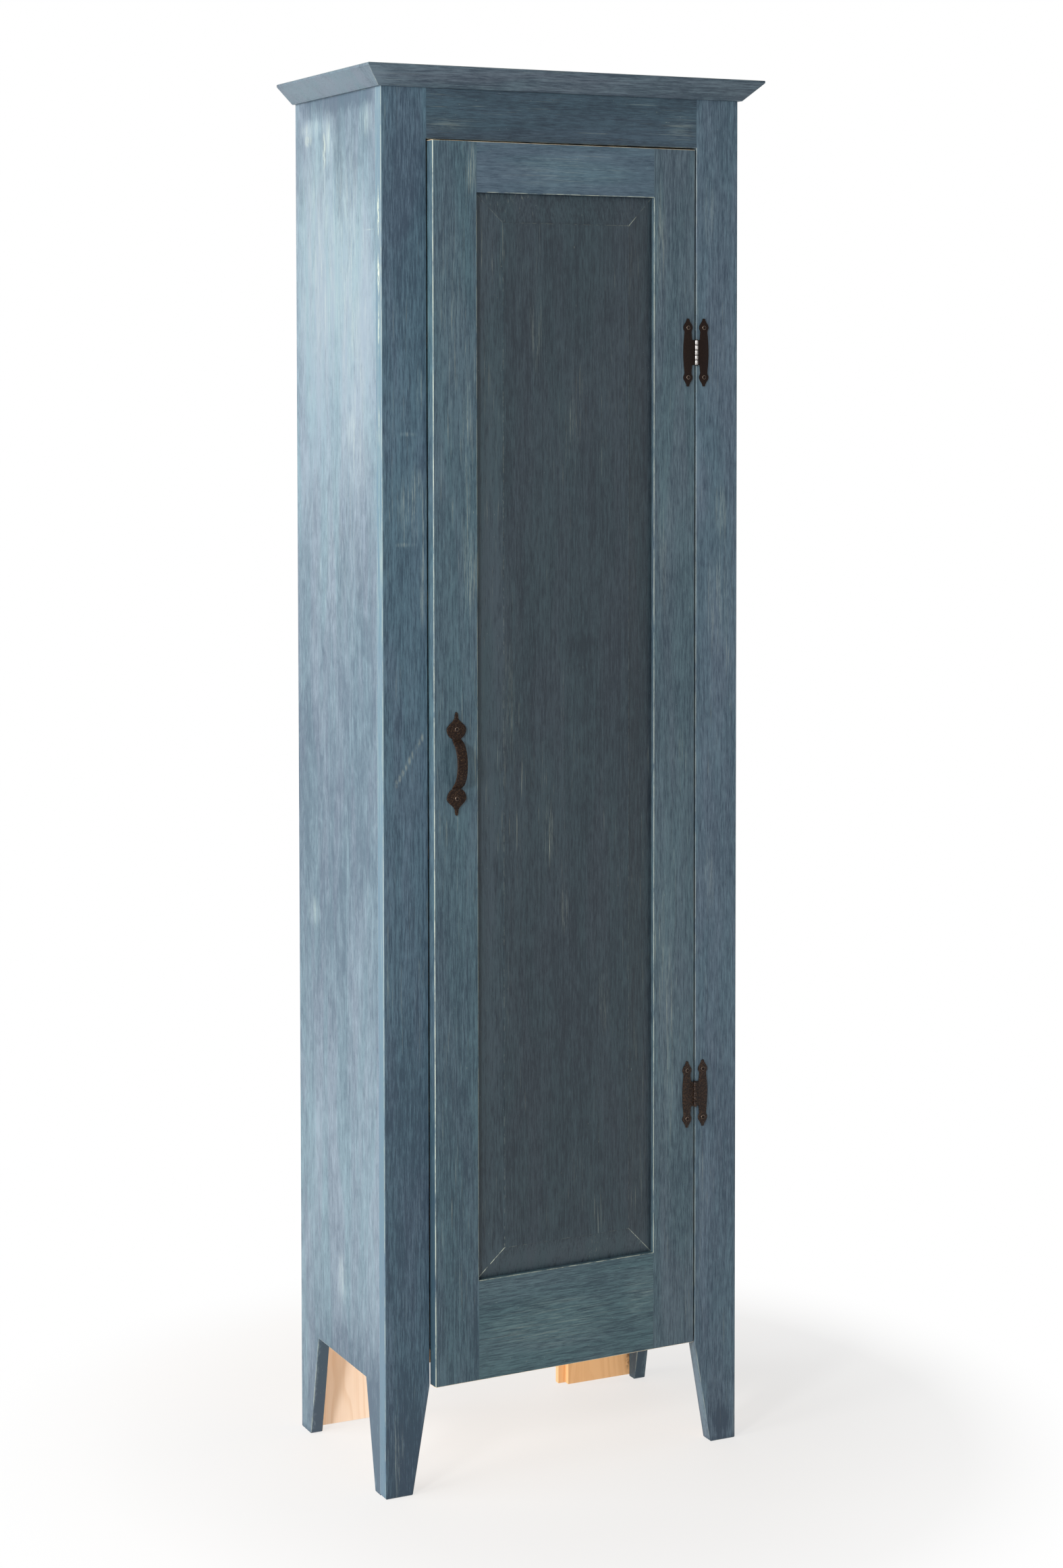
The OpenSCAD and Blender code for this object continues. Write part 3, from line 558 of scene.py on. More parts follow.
def pine_material(node, grain, seed, depth, tone=(1.0, 1.0, 1.0), spots=()):
    """Bare planed pine; spots are dark stains."""
    look = bpy.context.scene.cabinet_pine
    material, tree = new_material(node + "_pine")
    where = straight(tree, body_of(node))
    wood = use(planed_pine, heart_line(where, grain, seed, node, depth), Early=times(look.early, tone),
               Late=times(look.late, tone), Rings=1 / look.ring_gap)
    colour = wood["Color"]
    if spots:
        ragged = fade(noise(where, 160.0, 3.0), 0.30, 0.60)
        colour = tint(calc("MULTIPLY", patches(where, spots), ragged, clamp=True), colour, look.spot)
    shaded(colour, wood["Roughness"], wood["Height"], 0.25 * MM, 0.3, Specular_IOR_Level=0.3)
    return material


def stain_material(node, grain, seed, tone, coat, arris, worn, rubbed, streaks=1.0, clouds=1.0,
                   reach=0.4 * MM, pale=(), dark=(), bright=(), runs=(), panel=None, depth=0.08, figure=0.0,
                   ragged_coat=0.5 * MM):
    """Brushed stain over pine.

    coat and arris are boxes: past the coat's box the board is bare, and along the edges of the other it
    is worn. pale, dark, bright and runs are soft patches of thin stain, thick stain, bare marks and stain
    that ran past the coat. panel is the box of a raised panel and the patches where its lines show.
    """
    look = bpy.context.scene.cabinet_stain
    pine = bpy.context.scene.cabinet_pine
    material, tree = new_material(node + "_stain")
    where = straight(tree, body_of(node))
    rounded = place(tree, "ShaderNodeAttribute", "Fac", attribute_name="arris")
    wear = use(worn_arrises, where, Low=arris[0], High=arris[1], Rounded=rounded, Reach=reach)["Worn"] * worn
    # A raised panel's mitre and field lines join the wear: partly worn paint, partly painted highlight along the
    # bevel's edges.
    if panel:
        lines = use(panel_lines, where, Low=panel[0], High=panel[1])
        corner = patches(where, panel[2])
        mitre = lines["Mitre"] * calc("ADD", corner, 0.12, clamp=True)
        wear = calc("MAXIMUM", wear, calc("MAXIMUM", mitre, lines["Field"] * (corner * 0.2 + 0.10)))
    grained = moved(where, (0.37 * seed, 0.23 * seed, 1.9 * seed), GRAIN_TURNS[grain])
    ragged = marks(grained, 150, 60, 3.0, 0.7)
    if bright:
        spots = calc("MULTIPLY", patches(where, bright), fade(ragged, 0.36, 0.60), clamp=True)
        wear = calc("MAXIMUM", wear, spots)
    wood = use(planed_pine, heart_line(where, grain, seed, node, depth), Early=pine.early, Late=pine.late,
               Rings=1 / pine.ring_gap)
    # Dark patches thicken the stain; some of them are painted shade, and those with a negative strength are
    # painted light.
    thick = patches(where, dark)
    if figure:
        thick += wood["Late"] * figure
    stain = use(brushed_stain, grained, Deep=times(look.deep, tone), Thin=times(look.thin, tone),
                Rubbed=look.cream, Streaks=streaks, Clouds=clouds, Marks=rubbed, Worn=wear,
                Pale=patches(where, pale), Dark=thick)
    bare = use(coat_edge, where, Low=coat[0], High=coat[1], Ragged=ragged_coat)["Bare"]
    if runs:
        bare *= fade(patches(where, runs) + ragged * 0.9, 0.86, 0.74)
    rough = place(tree, "ShaderNodeMix", 0, {0: bare, 2: stain["Roughness"], 3: wood["Roughness"]},
                  data_type="FLOAT")
    shaded(tint(bare, stain["Color"], wood["Color"]), rough, stain["Height"], 0.25 * MM, 0.4,
           Specular_IOR_Level=0.4)
    return material


def iron_material(name, amount, relief=0.5 * MM, sparkle=0.08, gloss=0.15):
    """Hammered iron; amount is how deep the dents are, sparkle how bright the flecks."""
    look = bpy.context.scene.cabinet_iron
    material, tree = new_material(name)
    iron = use(hammered_iron, straight(tree, "case"), Iron=look.dark, Flecks=look.fleck_and_glint_colour, Dents=1 / look.dent,
               Amount=amount, Sparkle=sparkle)
    shaded(iron["Color"], iron["Roughness"], iron["Height"], relief, 0.9, Specular_IOR_Level=gloss)
    return material


def plain_material(name, first, second, scale, rough, metallic=0.0, stretch=(1.0, 1.0, 1.0)):
    """Steel, moulded plastic or ferrite: two near colours in a fine noise."""
    material, tree = new_material(name)
    vector = straight(tree, "case") * stretch
    fine = noise(vector, scale, 3.0)
    share = fine * 0.6 + noise(vector, scale / 9, 2.0) * 0.4
    shaded(tint(fade(share, 0.35, 0.65), first, second), rough + (fine - 0.5) * 0.3, fine, 0.05 * MM, 0.4,
           Metallic=metallic)
    return material


def rim_highlight_material(name):
    """Iron rubbed bright round the rim of a screw's head."""
    return plain_material(name, (0.22, 0.17, 0.135), (0.09, 0.065, 0.05), 800.0, 0.34, 1.0)


# Making meshes

def add_object(name, data):
    """A new object in the scene."""
    made = bpy.data.objects.new(name, data)
    bpy.context.scene.collection.objects.link(made)
    return made


def add_mesh(name, mesh, materials):
    """A new object of a mesh that was being edited."""
    data = bpy.data.meshes.new(name)
    mesh.to_mesh(data)
    mesh.free()
    for material in materials:
        data.materials.append(material)
    return add_object(name, data)


def finished(name, mesh, nodes, materials, smooth_below=None):
    """Makes an object of a mesh that was made with the door shut, and lets it stand for CAD nodes."""
    if body_of(nodes[0]) == "door":
        bmesh.ops.transform(mesh, matrix=TO_REST, verts=mesh.verts)
    if smooth_below is not None:
        for face in mesh.faces:
            face.smooth = True
        for edge in mesh.edges:
            edge.smooth = len(edge.link_faces) == 2 and edge.calc_face_angle() < smooth_below
    piece = add_mesh(name, mesh, materials)
    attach(piece, body_of(nodes[0]))
    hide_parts(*nodes)


def finish_as_is(node, material):
    """Gives a CAD node that stays as it is its material."""
    for slot in NODES[node].material_slots:
        slot.material = material


def merged_copy(node):
    """A CAD node's mesh with its doubles merged and its flat faces made whole, the door shut."""
    mesh = bmesh.new()
    mesh.from_mesh(NODES[node].data)
    bmesh.ops.remove_doubles(mesh, verts=mesh.verts, dist=2e-6)
    if body_of(node) == "door":
        bmesh.ops.transform(mesh, matrix=TO_SHUT, verts=mesh.verts)
    bmesh.ops.dissolve_limit(mesh, angle_limit=math.radians(0.4), verts=mesh.verts, edges=mesh.edges)
    mesh.faces.layers.float.new("arris")
    return mesh


def ease(mesh, chosen, width, segments=3):
    """Rounds the edges that are chosen, and marks the new faces as arris."""
    edges = [edge for edge in mesh.edges
             if len(edge.link_faces) == 2 and edge.is_convex and chosen(edge)]
    if not edges:
        return
    made = bmesh.ops.bevel(mesh, geom=edges, offset=width, offset_type="OFFSET", affect="EDGES",
                           segments=segments, profile=0.5, material=-1, clamp_overlap=False)
    rounded = mesh.faces.layers.float["arris"]
    for face in made["faces"]:
        face[rounded] = 1.0


def on_plane(edge, axis, value):
    """Whether both ends of an edge lie on a plane."""
    return all(abs(vertex.co[axis] - value) < 0.02 * MM for vertex in edge.verts)


def turns_over(edge, degrees):
    """Whether the faces beside an edge stand at more than an angle to each other."""
    return edge.calc_face_angle() > math.radians(degrees)


def mark_chamfers(mesh):
    """Marks the narrow slanting faces that the CAD has along its eased arrises."""
    rounded = mesh.faces.layers.float["arris"]
    for face in mesh.faces:
        slant = abs(abs(face.normal.x) - abs(face.normal.y)) < 0.02 and abs(face.normal.z) < 0.01
        if slant and face.calc_area() < NARROW_AREA:
            face[rounded] = 1.0


def board(node, material, chosen, width, levels=(), chamfered=False):
    """One board: a merged CAD copy, cut across at some levels, with its chosen arrises rounded."""
    mesh = merged_copy(node)
    if chamfered:
        mark_chamfers(mesh)
    for height in levels:
        bmesh.ops.bisect_plane(mesh, geom=mesh.verts[:] + mesh.edges[:] + mesh.faces[:], dist=1e-6,
                               plane_co=(0, 0, height), plane_no=(0, 0, 1))
    ease(mesh, lambda edge: turns_over(edge, 60) and edge.calc_length() > SHORT and chosen(edge), width)
    finished(node + "_board", mesh, [node], [material])


# The case

def arris_width():
    """The radius of the arrises on the outside."""
    return bpy.context.scene.cabinet_shape.arris


def box(low_x=-FAR, low_y=-FAR, low_z=-FAR, high_x=FAR, high_y=FAR, high_z=FAR):
    """The lowest and highest corner of a box that has no end on the sides that aren't named."""
    return Vector((low_x, low_y, low_z)), Vector((high_x, high_y, high_z))


def on_front(*rows):
    """Soft patches on the face, each given by its middle's x and z, its reach and its strength."""
    return [((x, FACE_Y, z), (wide, PATCH_DEPTH, high), strength) for x, z, wide, high, strength in rows]


def on_left(depth, *rows):
    """Soft patches on the left side, each given by its middle's y and z, its reach and its strength."""
    return [((-HALF_W, y, z), (depth, wide, high), strength) for y, z, wide, high, strength in rows]


def side_arris(edge, sign):
    """Whether an edge of a side board shows: on its outer face, its cut-out or its feet."""
    if on_plane(edge, 1, BOARD_Y) or on_plane(edge, 2, CASE_H):
        return False
    low = all(vertex.co.z < CUT_OUT_Z + 1 * MM for vertex in edge.verts)
    return low or on_plane(edge, 0, sign * HALF_W)


def make_sides():
    """The two side boards."""
    back = BACK_Y - 0.3 * MM
    left_coat = box(high_x=-INNER_HALF - 0.5 * MM, high_y=back)
    right_coat = box(low_x=INNER_HALF + 0.5 * MM, high_y=back)
    # The wide pale patches high on the left side are painted sheen that lightens the top of the side; the small
    # ones are thin cream patches and rubbed marks.
    left_pale_stain_and_painted_light = on_left(
        PATCH_DEPTH,
        (0.105, 1.766, 0.055, 0.016, 1.0), (0.045, 1.745, 0.018, 0.045, 0.9),
        (-0.085, 1.765, 0.030, 0.030, 0.6), (0.060, 1.60, 0.16, 0.24, 0.65),
        (-0.050, 1.50, 0.08, 0.30, 0.5), (0.000, 1.25, 0.16, 0.25, 0.2),
        (0.015, 0.245, 0.022, 0.05, 0.9), (-0.03, 1.37, 0.02, 0.03, 0.5),
        (0.11, 0.72, 0.03, 0.03, 0.5), (0.11, 1.41, 0.02, 0.03, 0.4))
    left_bright = on_left(
        0.02, (0.118, 1.752, 0.018, 0.012, 0.5), (0.060, 1.735, 0.008, 0.040, 0.5),
        (-0.093, 1.625, 0.022, 0.0012, 0.35))
    # On the left side the band just under the top board is painted shade under its overhang; the wide patches
    # darken the middle and the bottom and lighten the upper and lower parts as painted light and shade; the narrow
    # stroke high up is thick stain.
    left_stain_and_painted_light = on_left(PATCH_DEPTH, (0.012, 1.70, 0.022, 0.12, 0.55)) + on_left(
        0.05, (0.020, 1.800, 0.20, 0.030, 0.75), (0.02, 0.90, 0.40, 0.48, 0.38),
        (0.03, 1.50, 0.30, 0.30, -0.45), (0.03, 0.33, 0.30, 0.30, -0.18), (-0.04, 0.03, 0.30, 0.24, 0.75))
    # The left side's tone is lighter than the right side's: partly a paler coat, partly painted light from the
    # lamp on the left.
    for node, sign, seed, tone, coat, pale, dark, bright in (
            ("left_side", -1, 3, (1.68, 1.30, 1.22), left_coat, left_pale_stain_and_painted_light, left_stain_and_painted_light, left_bright),
            ("right_side", 1, 8, (1.15, 1.08, 1.05), right_coat, (), [], ())):
        low, high = shut_box(node)
        low.y -= 1.0
        inner = sign * INNER_HALF
        # The strong dark patch at each rear foot's front edge and inner face is partly thick stain and partly
        # painted shade on the rear leg; the floor patch is painted shade where the foot meets the floor.
        material = stain_material(
            node, "Z", seed, tone, coat, (low, high), streaks=0.6, clouds=1.3, rubbed=0.15, worn=0.4,
            pale=pale, dark=[((sign * 0.244, 0.115, 0.07), (0.013, 0.05, 0.11), 1.6), PAINTED_FLOOR_SHADE] + dark,
            bright=bright, runs=[((inner, 0.118, 0.05), (0.02, 0.020, 0.12), 0.5),
                                 ((INNER_HALF, 0.140, 0.05), (0.02, 0.045, 0.14), 0.8),
                                 ((inner, -0.075, 0.06), (0.02, 0.030, 0.12), 0.5)])
        board(node, material, lambda edge: side_arris(edge, sign), arris_width(), [CUT_OUT_Z])


def make_face_frame():
    """The two face stiles and the rail between them."""
    coat = box(high_y=BOARD_Y - 0.07 * MM)
    left_pale_stain_and_painted_light = on_front(
        (-0.212, 1.275, 0.026, 0.060, 0.9), (-0.200, 1.19, 0.008, 0.09, 1.0),
        (-0.222, 1.366, 0.020, 0.004, 0.6), (-0.225, 1.226, 0.022, 0.004, 0.6),
        (-0.240, 0.06, 0.012, 0.06, 0.5), (-0.205, 1.42, 0.006, 0.05, 0.7))
    # This pale patch and the negative dark patch appended below both lighten the stile's left face, which faces
    # the lamp on the left: painted light.
    left_pale_stain_and_painted_light.append(((-HALF_W, FACE_Y + 9 * MM, 1.3), (0.003, PATCH_DEPTH, 0.9), 0.6))
    # The first dark patch darkens the stile high up, the other two darken it towards its foot.
    left_stain_and_painted_light = on_front((-0.225, 1.66, 0.06, 0.25, 0.32), (-0.225, 0.42, 0.06, 0.42, 0.3),
                         (-0.225, 0.04, 0.06, 0.18, 0.8))
    left_stain_and_painted_light.append(((-HALF_W, FACE_Y + 9 * MM, 0.9), (0.003, PATCH_DEPTH, 3.0), -1.2))
    corner_spots = ((1.645, 0.0045, 0.045, 1.2), (1.570, 0.0050, 0.040, 1.1),
                    (1.500, 0.0035, 0.050, 0.8), (1.380, 0.0030, 0.040, 0.5))
    left_bright = [((-HALF_W, FACE_Y + 8 * MM, z), (0.003, wide, high), strength)
                   for z, wide, high, strength in corner_spots]
    left_bright += on_front(*((-0.238 + 0.0045 * i, 0.922 + 0.0072 * i, 0.0030, 0.0075, 0.30)
                              for i in range(9)))
    right_pale = on_front(
        (0.228, 1.14, 0.022, 0.09, 0.6), (0.233, 1.257, 0.012, 0.05, 0.7), (0.215, 0.77, 0.010, 0.06, 0.5),
        (0.215, 1.66, 0.015, 0.06, 0.3), (0.205, 0.35, 0.005, 0.12, 0.3))
    # The right stile darkens towards its foot; the negative patch on the foot's tapered inner face, which faces
    # left towards the lamps, lightens it as painted light; the last patch lightens the stile's edge beside the
    # door.
    right_stain_and_painted_light = on_front((0.236, 0.028, 0.020, 0.032, 1.0), (0.225, 0.35, 0.06, 0.4, 0.15))
    right_stain_and_painted_light.append(((0.205, BOARD_Y - 9 * MM, 0.07), (0.030, 0.012, 0.12), -1.0))
    right_stain_and_painted_light += on_front((OPEN_HALF + 0.002, 1.33, 0.008, 0.10, -0.7))
    for node, sign, seed, tone, pale, dark, bright in (
            ("left_face_stile", -1, 5, (0.85, 0.83, 0.87), left_pale_stain_and_painted_light, left_stain_and_painted_light, left_bright),
            ("right_face_stile", 1, 11, (1.08, 0.94, 0.95), right_pale, right_stain_and_painted_light, ())):
        arris = box(low_x=-HALF_W, low_y=FACE_Y) if sign < 0 else box(high_x=HALF_W, low_y=FACE_Y)
        material = stain_material(
            node, "Z", seed, tone, coat, arris, rubbed=0.35, worn=0.3, reach=0.3 * MM, pale=pale,
            dark=dark + [PAINTED_FLOOR_SHADE], bright=bright, ragged_coat=0.05 * MM)

        def chosen(edge):
            top = max(vertex.co.z for vertex in edge.verts)
            on_foot = top < DOOR_LOW_Z + 1 * MM and not on_plane(edge, 1, BOARD_Y)
            beside_door = on_plane(edge, 0, sign * OPEN_HALF) and on_plane(edge, 1, FACE_Y)
            return on_foot or (beside_door and top < OPEN_TOP_Z + CLOSE)

        board(node, material, chosen, arris_width(), [OPEN_TOP_Z], chamfered=True)
    low, high = shut_box("face_top_rail")
    material = stain_material(
        "face_top_rail", "X", 17, (0.45, 0.465, 0.505), coat,
        (low - Vector((1, 0, 0)), high + Vector((1, 0, 1))), rubbed=0.4, worn=0.35, reach=0.3 * MM,
        clouds=1.5, pale=on_front((-0.165, 1.760, 0.050, 0.018, 0.3), (0.170, 1.760, 0.035, 0.030, 0.3)))
    board("face_top_rail", material, lambda edge: on_plane(edge, 2, OPEN_TOP_Z), 0.6 * MM)


def make_top():
    """The bevelled top board."""
    material = stain_material(
        "top_board", "X", 23, (0.99, 0.78, 0.76), box(high_y=BACK_Y - 0.3 * MM), shut_box("top_board"),
        rubbed=0.35, worn=0.3, reach=0.3 * MM, clouds=1.3, figure=0.45, depth=-0.055,
        # the negative dark patch lightens the left end of the bevel, which faces the lamp on the left: painted
        # light
        dark=[((-HALF_W - 0.015, 0.02, CASE_H + 0.012), (0.035, 0.35, 0.04), -0.85)])
    board("top_board", material, lambda edge: True, 0.6 * MM)


# The door

def on_skin(edge):
    """Whether an edge lies on the front or the back of the door."""
    return on_plane(edge, 1, FACE_Y) or on_plane(edge, 1, DOOR_BACK_Y)


def door_board(node, seed, grain, tone, arris, chosen, **finish):
    """A stile or a rail of the door."""
    coat = box(low_z=DOOR_LOW_Z + 0.5 * MM, high_y=DOOR_BACK_Y - 0.4 * MM, high_z=DOOR_HIGH_Z - 0.35 * MM)
    material = stain_material(node, grain, seed, tone, coat, arris, **finish)
    board(node, material, lambda edge: on_skin(edge) and chosen(edge), arris_width(),
          [PANEL_LOW_Z, PANEL_HIGH_Z], chamfered=True)


def stile_arris(outer_x, inner_x):
    """Gives the test of whether an edge of one of the door's stiles shows."""
    def shows(edge):
        heights = [vertex.co.z for vertex in edge.verts]
        beside_panel = PANEL_LOW_Z - CLOSE < min(heights) and max(heights) < PANEL_HIGH_Z + CLOSE
        return (on_plane(edge, 0, outer_x) or on_plane(edge, 2, DOOR_LOW_Z)
                or on_plane(edge, 2, DOOR_HIGH_Z) or (on_plane(edge, 0, inner_x) and beside_panel))
    return shows


def rail_arris(edge):
    """Whether an edge of one of the door's rails shows."""
    beside_stile = on_plane(edge, 0, PANEL_LEFT_X) or on_plane(edge, 0, PANEL_RIGHT_X)
    heights = (DOOR_LOW_Z, PANEL_LOW_Z, PANEL_HIGH_Z, DOOR_HIGH_Z)
    return not beside_stile and any(on_plane(edge, 2, height) for height in heights)


def make_door_frame():
    """The stiles and rails of the door."""
    door_board(
        "door_pull_stile", 29, "Z", (0.83, 0.81, 0.79),
        box(low_x=DOOR_LEFT_X, low_y=FACE_Y, low_z=DOOR_LOW_Z, high_z=DOOR_HIGH_Z),
        stile_arris(DOOR_LEFT_X, PANEL_LEFT_X), worn=0.7, reach=0.6 * MM, rubbed=0.5,
        # The bright line along the door's left arris is worn paint and a painted highlight along that arris.
        bright=[((DOOR_LEFT_X, FACE_Y, 1.1), (0.0011, 0.0011, 1.3), 1.0)],
        pale=on_front((-0.144, 1.36, 0.010, 0.12, 0.8), (-0.142, 1.20, 0.012, 0.09, 0.9),
                      (-0.137, 1.705, 0.010, 0.045, 1.0), (-0.165, 1.55, 0.03, 0.16, 0.2)),
        dark=[((DOOR_LEFT_X, FACE_Y + 9 * MM, 0.25), (0.002, PATCH_DEPTH, 0.55), 0.7)]
        + on_front((-0.134, 0.205, 0.004, 0.09, 0.8), (-0.165, 0.45, 0.04, 0.4, 0.3)))
    door_board(
        "door_hinge_stile", 31, "Z", (0.97, 0.85, 0.81),
        box(low_y=FACE_Y, low_z=DOOR_LOW_Z, high_x=DOOR_RIGHT_X, high_z=DOOR_HIGH_Z),
        stile_arris(DOOR_RIGHT_X, PANEL_RIGHT_X), worn=0.6, reach=0.3 * MM, rubbed=0.4,
        pale=on_front((0.140, 1.62, 0.012, 0.10, 0.6), (0.146, 1.22, 0.012, 0.12, 0.4),
                      (0.15, 0.6, 0.02, 0.3, 0.3)),
        dark=on_front((0.165, 0.30, 0.02, 0.15, 0.2)))
    door_board(
        "door_top_rail", 37, "X", (1.03, 0.93, 0.94), box(low_y=FACE_Y, high_z=DOOR_HIGH_Z), rail_arris,
        worn=0.7, rubbed=0.35, streaks=0.7, pale=on_front((0.0, 1.70, 0.12, 0.03, 0.3)))
    door_board(
        "door_bottom_rail", 43, "X", (0.86, 0.86, 0.77), box(low_y=FACE_Y, low_z=DOOR_LOW_Z), rail_arris,
        worn=0.7, rubbed=0.6,
        pale=on_front((0.110, 0.215, 0.035, 0.045, 0.35), (-0.02, 0.20, 0.12, 0.05, 0.4)))


def make_panel():
    """The raised panel."""
    node = "door_panel"
    low, high = box(low_x=PANEL_LEFT_X, low_z=PANEL_LOW_Z, high_x=PANEL_RIGHT_X, high_z=PANEL_HIGH_Z)
    corners = [((low.x + 0.02, FACE_Y, low.z + 0.02), (0.05, 0.05, 0.05), 1.1),
               ((high.x - 0.02, FACE_Y, low.z + 0.02), (0.05, 0.05, 0.05), 0.5),
               ((high.x - 0.035, FACE_Y, high.z - 0.035), (0.02, 0.05, 0.02), 0.4)]
    middle = (low + high) / 2
    material = stain_material(
        node, "Z", 53, (0.362, 0.330, 0.325),
        box(low_z=DOOR_LOW_Z + 0.5 * MM, high_y=shut_box(node)[1].y - 0.3 * MM),
        (low - Vector((1, 0, 1)), high + Vector((1, 0, 1))), rubbed=0.35, streaks=1.25, clouds=1.2, worn=0.0,
        pale=on_front((-0.027, 0.845, 0.010, 0.060, 0.55), (-0.004, 0.745, 0.007, 0.045, 0.6),
                      (-0.085, 1.02, 0.012, 0.10, 0.30), (-0.045, 1.50, 0.012, 0.07, 0.4),
                      (0.010, 1.38, 0.010, 0.05, 0.35), (0.055, 0.62, 0.010, 0.06, 0.35)),
        dark=on_front((0.02, 1.09, 0.035, 0.02, 0.5))
        # These negative dark patches lighten the lower bevel, which faces the bright floor, and the left bevel,
        # which faces the lamp on the left: painted light.
        + [((middle.x, FACE_Y, low.z + 0.014), (0.30, 0.05, 0.030), -0.75),
           ((low.x + 0.014, FACE_Y, middle.z), (0.030, 0.05, 1.0), -0.55)],
        panel=(low, high, corners))
    finished(node + "_board", merged_copy(node), [node], [material])


# Inside and behind

def make_inside():
    """Shelves, cleats and back boards of bare pine."""
    # The left back board is lighter and paler as painted light where light reaches it through the left cut-out;
    # the right one is darker and warmer as painted shade.
    tones = {LEFT_BACK: (1.07, 1.11, 1.34), RIGHT_BACK: (1.03, 0.84, 0.66)}
    spots = {RIGHT_BACK: [((0.238, BACK_IN_Y, 0.026), (0.006, 0.02, 0.020), 0.9)]}
    width = bpy.context.scene.cabinet_shape.inner_arris
    for node, grain, seed, depth in (
            ("bottom_shelf", "X", 2, 0.09), ("shelf_1", "X", 4, 0.08), ("shelf_2", "X", 5, 0.10),
            ("shelf_3", "X", 7, 0.08), ("shelf_4", "X", 9, 0.09), ("left_top_cleat", "Y", 6, 0.05),
            ("right_top_cleat", "Y", 10, 0.05), ("rear_top_cleat", "X", 12, 0.05),
            ("back_board_1", "Z", 13, -0.06), ("back_board_2", "Z", 15, -0.08),
            ("back_board_3", "Z", 18, -0.07), ("back_board_4", "Z", 21, -0.09)):
        material = pine_material(node, grain, seed, depth, tones.get(node, (1.0, 1.0, 1.0)),
                                 spots.get(node, ()))
        board(node, material, lambda edge: not on_plane(edge, 2, CASE_H), width)


# Fittings

def head_places(node):
    """The middle of each screw's head, with the door shut."""
    points = shut_points(node)
    front = min(point.y for point in points)
    heads = []
    for point in points:
        if point.y > front + 0.02 * MM:
            continue
        near = [head for head in heads if (head[0] - point).length < 8 * MM]
        if near:
            near[0].append(point)
        else:
            heads.append([point])
    return [Vector(((min(p.x for p in head) + max(p.x for p in head)) / 2, front,
                    (min(p.z for p in head) + max(p.z for p in head)) / 2)) for head in heads]


def draw_out(mesh, face, closed=False):
    """Extrudes a face and gives the new one; the old one stays only where it closes the end."""
    grown = bmesh.ops.extrude_face_region(mesh, geom=[face])["geom"]
    if not closed:
        bmesh.ops.delete(mesh, geom=[face], context="FACES_ONLY")
    return [item for item in grown if isinstance(item, bmesh.types.BMFace)][0]


def cross_reach(angle, half_width, length):
    """How far a cross-shaped recess reaches at an angle."""
    slim = min(abs(math.sin(angle)), abs(math.cos(angle)))
    return min(length, half_width / slim) if slim > 1e-6 else length


def add_screw(mesh, head, turn):
    """One oval-headed screw with a cross recess, its head at a point and its shank along +Y."""
    dome = bpy.context.scene.cabinet_shape.screw_dome
    stations = [(-SCREW_L, SHANK_R * 0.3), (3 * MM - SCREW_L, SHANK_R), (-1.5 * MM, SHANK_R),
                (0.0, HEAD_R), (dome * 0.45, HEAD_R * 0.93), (dome * 0.80, HEAD_R * 0.76),
                (dome, HEAD_R * 0.56)]
    ring = bmesh.ops.create_circle(mesh, segments=48, radius=stations[0][1], cap_ends=True)["verts"]
    made = set(ring)
    face = ring[0].link_faces[0]
    for vertex in ring:
        vertex.co.z = stations[0][0]
    for index, (height, wide) in enumerate(stations[1:]):
        face = draw_out(mesh, face, closed=index == 0)
        for vertex in face.verts:
            across = Vector((vertex.co.x, vertex.co.y, 0.0)).normalized() * wide
            vertex.co = Vector((across.x, across.y, height))
        made.update(face.verts)
    for depth, share in ((dome, 1.0), (dome - 0.45 * MM, 0.8)):
        face = draw_out(mesh, face)
        for vertex in face.verts:
            angle = math.atan2(vertex.co.y, vertex.co.x)
            reach = cross_reach(angle, 0.36 * MM, 1.2 * MM) * share
            vertex.co = Vector((math.cos(angle) * reach, math.sin(angle) * reach, depth))
        made.update(face.verts)
    # The band round the outer slope of the head takes the second, brighter material: partly rubbed metal, partly a
    # painted highlight ring.
    for item in {face for vertex in made for face in vertex.link_faces}:
        middle = item.calc_center_median()
        out = math.hypot(middle.x, middle.y) / HEAD_R
        item.material_index = 1 if middle.z > 0 and 0.72 < out < 0.95 else 0
    where = Matrix.Translation(head) @ Matrix.Rotation(QUARTER, 4, "X") @ Matrix.Rotation(turn, 4, "Z")
    bmesh.ops.transform(mesh, matrix=where, verts=list(made))


def screws(node, materials, turns):
    """All the screws of one CAD node, of iron with a brighter rim."""
    mesh = bmesh.new()
    for head, turn in zip(head_places(node), turns):
        add_screw(mesh, head, math.radians(turn))
    bmesh.ops.recalc_face_normals(mesh, faces=mesh.faces)
    finished(node + "_set", mesh, [node], materials, math.radians(40))


def is_knuckle_rim(edge):
    """Whether an edge lies on the end of a knuckle, at its outside."""
    flat = abs(edge.verts[0].co.z - edge.verts[1].co.z) < 1e-6
    return flat and turns_over(edge, 60) and all(
        abs(math.hypot(vertex.co.x - PIN.x, vertex.co.y - PIN.y) - KNUCKLE_R) < 0.03 * MM
        for vertex in edge.verts)


def on_screw_rim(node, point):
    """Whether a point lies on the rim of a screw's hole in a hinge leaf."""
    low, high = shut_box(node)
    side = LEAF_REACH if body_of(node) == "case" else -LEAF_REACH
    across = point.x - PIN.x - side
    along = point.z - (low.z + high.z) / 2
    return any(Vector((across, along - end * LEAF_SCREW_Z)).length < 3.3 * MM for end in (-1, 1))


